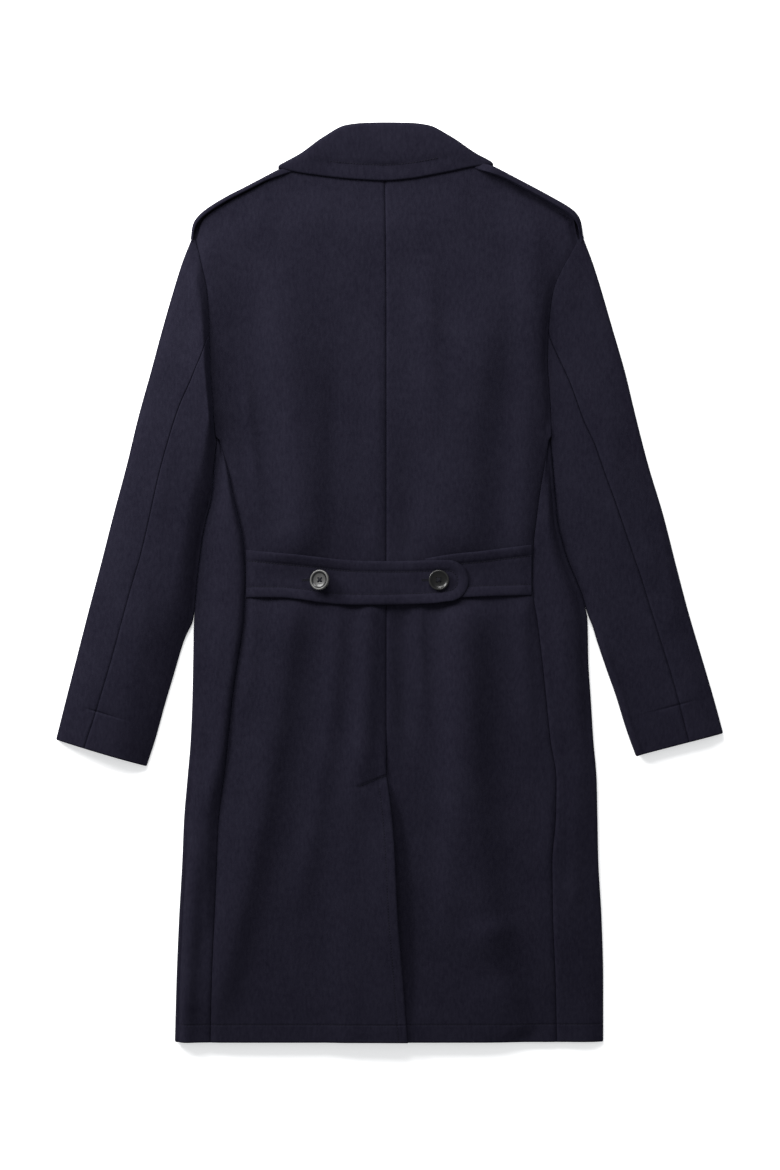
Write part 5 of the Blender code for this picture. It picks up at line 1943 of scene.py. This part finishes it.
def button_place(side):
    """Matrix that puts a button, or its thread, on the half belt with its tilt."""
    spec = BUTTONS[side]
    angle = np.linspace(0, math.tau, RIM_PLACES)
    rim_x = spec.x + BUTTON_RADIUS * np.cos(angle)
    rim_y = spec.y + BUTTON_RADIUS * np.sin(angle)
    lift = belt_top("left", rim_x, rim_y).max() + GAP + button_drop(side)
    tilted = Matrix.Rotation(math.radians(spec.tilt), 4, "Y")
    nodded = Matrix.Rotation(math.radians(spec.nod), 4, "X")
    return Matrix.Translation((spec.x * MM, spec.y * MM, lift * MM)) @ tilted @ nodded


for side in SIDES:
    button = model_button(f"button_{side}_horn")
    button.data.transform(button_place(side))
    join_coat(button, HORN[side], f"button_{side}")
    low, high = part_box(f"button_{side}")
    span = f"solid from {low.z / MM:.1f} to {high.z / MM:.1f} mm"
    print(f"button_{side}: {len(button.data.polygons)} faces, {span}")

# %% [markdown]
# Each button is sewn on with a cross of thread through its four holes and a wound stem of thread under it,
# which the tilted button leans on.

# %% Thread of the buttons
STRAND_RADIUS = 0.6
STRAND_LIFT = 0.1
STRAND_BENDS = ((0.45, -0.35), (0.1, -1.6))
STEM_RADIUS = 2.2
STEM_TOP = 0.4
STEM_LENGTH = 1.4
STRAND_SIDES = 10
STEM_SIDES = 18
THREAD_SMOOTH_ANGLE = 50.0


def model_strand(turn, aside):
    """One strand between two holes: a lying cylinder, its ends drawn out and bent down into them."""
    top = (BUTTON_HEIGHT - BUTTON_DISH + STRAND_LIFT) * MM
    strand = add_cylinder(
        STRAND_SIDES, STRAND_RADIUS * MM, 2 * HOLE_SPREAD * MM,
        turned_place(aside, turn + math.pi / 2, top), (math.pi / 2, 0, turn + math.pi / 2),
    )
    for way in (-1.0, 1.0):
        out = Vector((math.cos(turn), math.sin(turn), 0.0)) * way
        select_faces(strand, lambda normal: normal.dot(out) > FACING)
        for push, drop in STRAND_BENDS:
            move = out * push * MM + Vector((0, 0, drop * MM))
            bpy.ops.mesh.extrude_region_move(TRANSFORM_OT_translate={"value": move})
        bpy.ops.object.mode_set(mode="OBJECT")
    return strand


def model_button_thread(name, stem_length):
    """Two crossing pairs of strands and a stem, each drawn from a cylinder, as one mesh."""
    bpy.ops.object.select_all(action="DESELECT")
    turns = (math.pi / 4, 3 * math.pi / 4)
    parts = [model_strand(turn, way * STRAND_RADIUS) for turn in turns for way in (-1, 1)]
    stem_middle = (0, 0, (STEM_TOP - stem_length / 2) * MM)
    stem = add_cylinder(STEM_SIDES, STEM_RADIUS * MM, stem_length * MM, stem_middle)
    select_faces(stem, lambda normal: abs(normal.z) < 1 - FACING)
    bpy.ops.mesh.subdivide(number_cuts=2)
    bpy.ops.object.mode_set(mode="OBJECT")
    bpy.ops.object.select_all(action="DESELECT")
    for part in parts + [stem]:
        part.select_set(True)
    bpy.context.view_layer.objects.active = parts[0]
    bpy.ops.object.join()
    thread = bpy.context.object
    thread.name = name
    bpy.ops.object.shade_smooth_by_angle(angle=math.radians(THREAD_SMOOTH_ANGLE))
    return thread


for side in SIDES:
    thread = model_button_thread(f"button_{side}_thread", STEM_LENGTH + button_drop(side))
    thread.data.transform(button_place(side))
    join_coat(thread, BUTTON_THREAD)
    SEWN["belt_left"].append(thread)
    print(thread.name, len(thread.data.polygons), "faces")

# %% [markdown]
# ## What each piece was cut from
# The width and length of each cloth piece's cut are listed, with the pieces it rests on. Wool is hardly
# stretched when it is laid down, so the area of the outer face is the area of the cut.

Cut = namedtuple("Cut", "width length rests_on")
CUTS = {
    "back_left": Cut(0.270, 1.075, ("front_left", "front_right")),
    "back_right": Cut(0.270, 1.075, ("front_right", "front_left")),
    "side_left": Cut(0.120, 0.725, ("front_left",)),
    "side_right": Cut(0.130, 0.725, ("front_right",)),
    "front_left": Cut(0.275, 1.080, ()),
    "front_right": Cut(0.275, 1.080, ("front_left",)),
    "sleeve_upper_left": Cut(0.260, 0.660, ()),
    "sleeve_upper_right": Cut(0.270, 0.660, ()),
    "sleeve_under_left": Cut(0.190, 0.560, ()),
    "sleeve_under_right": Cut(0.180, 0.560, ()),
    "collar": Cut(0.260, 0.145, ("back_left", "back_right")),
    "collar_front_left": Cut(0.050, 0.110, ()),
    "collar_front_right": Cut(0.050, 0.110, ()),
    "strap_left": Cut(0.075, 0.145, ("front_left",)),
    "strap_right": Cut(0.075, 0.145, ("front_right",)),
    "belt_left": Cut(0.275, 0.066, ("back_left", "back_right")),
    "belt_right": Cut(0.135, 0.066, ("back_right",)),
}
for node, cut in CUTS.items():
    most = cut.width * cut.length

# %% [markdown]
# ## Floor, light and camera
# The coat was photographed from straight above on white. A plain white floor that glows faintly stays white
# in the picture, also where the coat shades it.

# %% Floor
FLOOR_SIZE = 12.0
FLOOR_DROP = 0.0003


def pale_floor():
    """A plain pale floor under the coat."""
    bpy.ops.object.select_all(action="DESELECT")
    bpy.ops.mesh.primitive_plane_add(size=FLOOR_SIZE, location=(0, 0, -FLOOR_DROP))
    floor = bpy.context.object
    floor.name = "floor"
    bpy.ops.object.transform_apply(location=True, rotation=True, scale=True)
    material, _, inputs = new_material("pale floor")
    fixed(inputs, {"Base Color": (0.9, 0.9, 0.9, 1.0), "Roughness": 0.9, "Specular IOR Level": 0.1})
    fixed(inputs, {"Emission Color": (1.0, 1.0, 1.0, 1.0), "Emission Strength": 0.4})
    floor.data.materials.append(material)


pale_floor()
print("floor ready")

# %% [markdown]
# One soft light stands above the collar, and a stronger one comes in low from the upper left, so that folds
# show. A pale surrounding fills their shadows. The camera is far away with a long lens, which keeps the
# coat's outline free of perspective.

# %% Lights and camera
Lamp = namedtuple("Lamp", "name place size power")
LAMPS = (
    Lamp("top key", (-0.3, 1.9, 1.5), 1.0, 58.0),
    Lamp("left key", (-1.8, 1.42, 0.94), 1.0, 94.0),
)
VIEW_HEIGHT = 1.404
CAMERA_HEIGHT = 3.9
SENSOR = 36.0
CAMERA_PLACE = (0.6 * MM, -3.0 * MM, CAMERA_HEIGHT + 0.01)
for lamp in LAMPS:
    light = bpy.data.lights.new(lamp.name, "AREA")
    light.size = lamp.size
    light.energy = lamp.power
    holder = bpy.data.objects.new(lamp.name, light)
    holder.location = lamp.place
    holder.rotation_euler = (-Vector(lamp.place)).to_track_quat("-Z", "Y").to_euler()
    bpy.context.scene.collection.objects.link(holder)
world = bpy.data.worlds.new("studio")
world.use_nodes = True
fixed(world.node_tree.nodes["Background"].inputs, {"Color": (0.96, 0.98, 1.0, 1.0), "Strength": 0.5})
bpy.context.scene.world = world
bpy.context.scene.view_settings.view_transform = "Standard"
camera = bpy.data.cameras.new("camera")
camera.sensor_width = SENSOR
camera.lens = SENSOR * CAMERA_HEIGHT / VIEW_HEIGHT
camera.clip_end = 100.0
viewer = bpy.data.objects.new("camera", camera)
viewer.location = CAMERA_PLACE
bpy.context.scene.collection.objects.link(viewer)
bpy.context.scene.camera = viewer
print("lens:", round(camera.lens, 1), "mm")
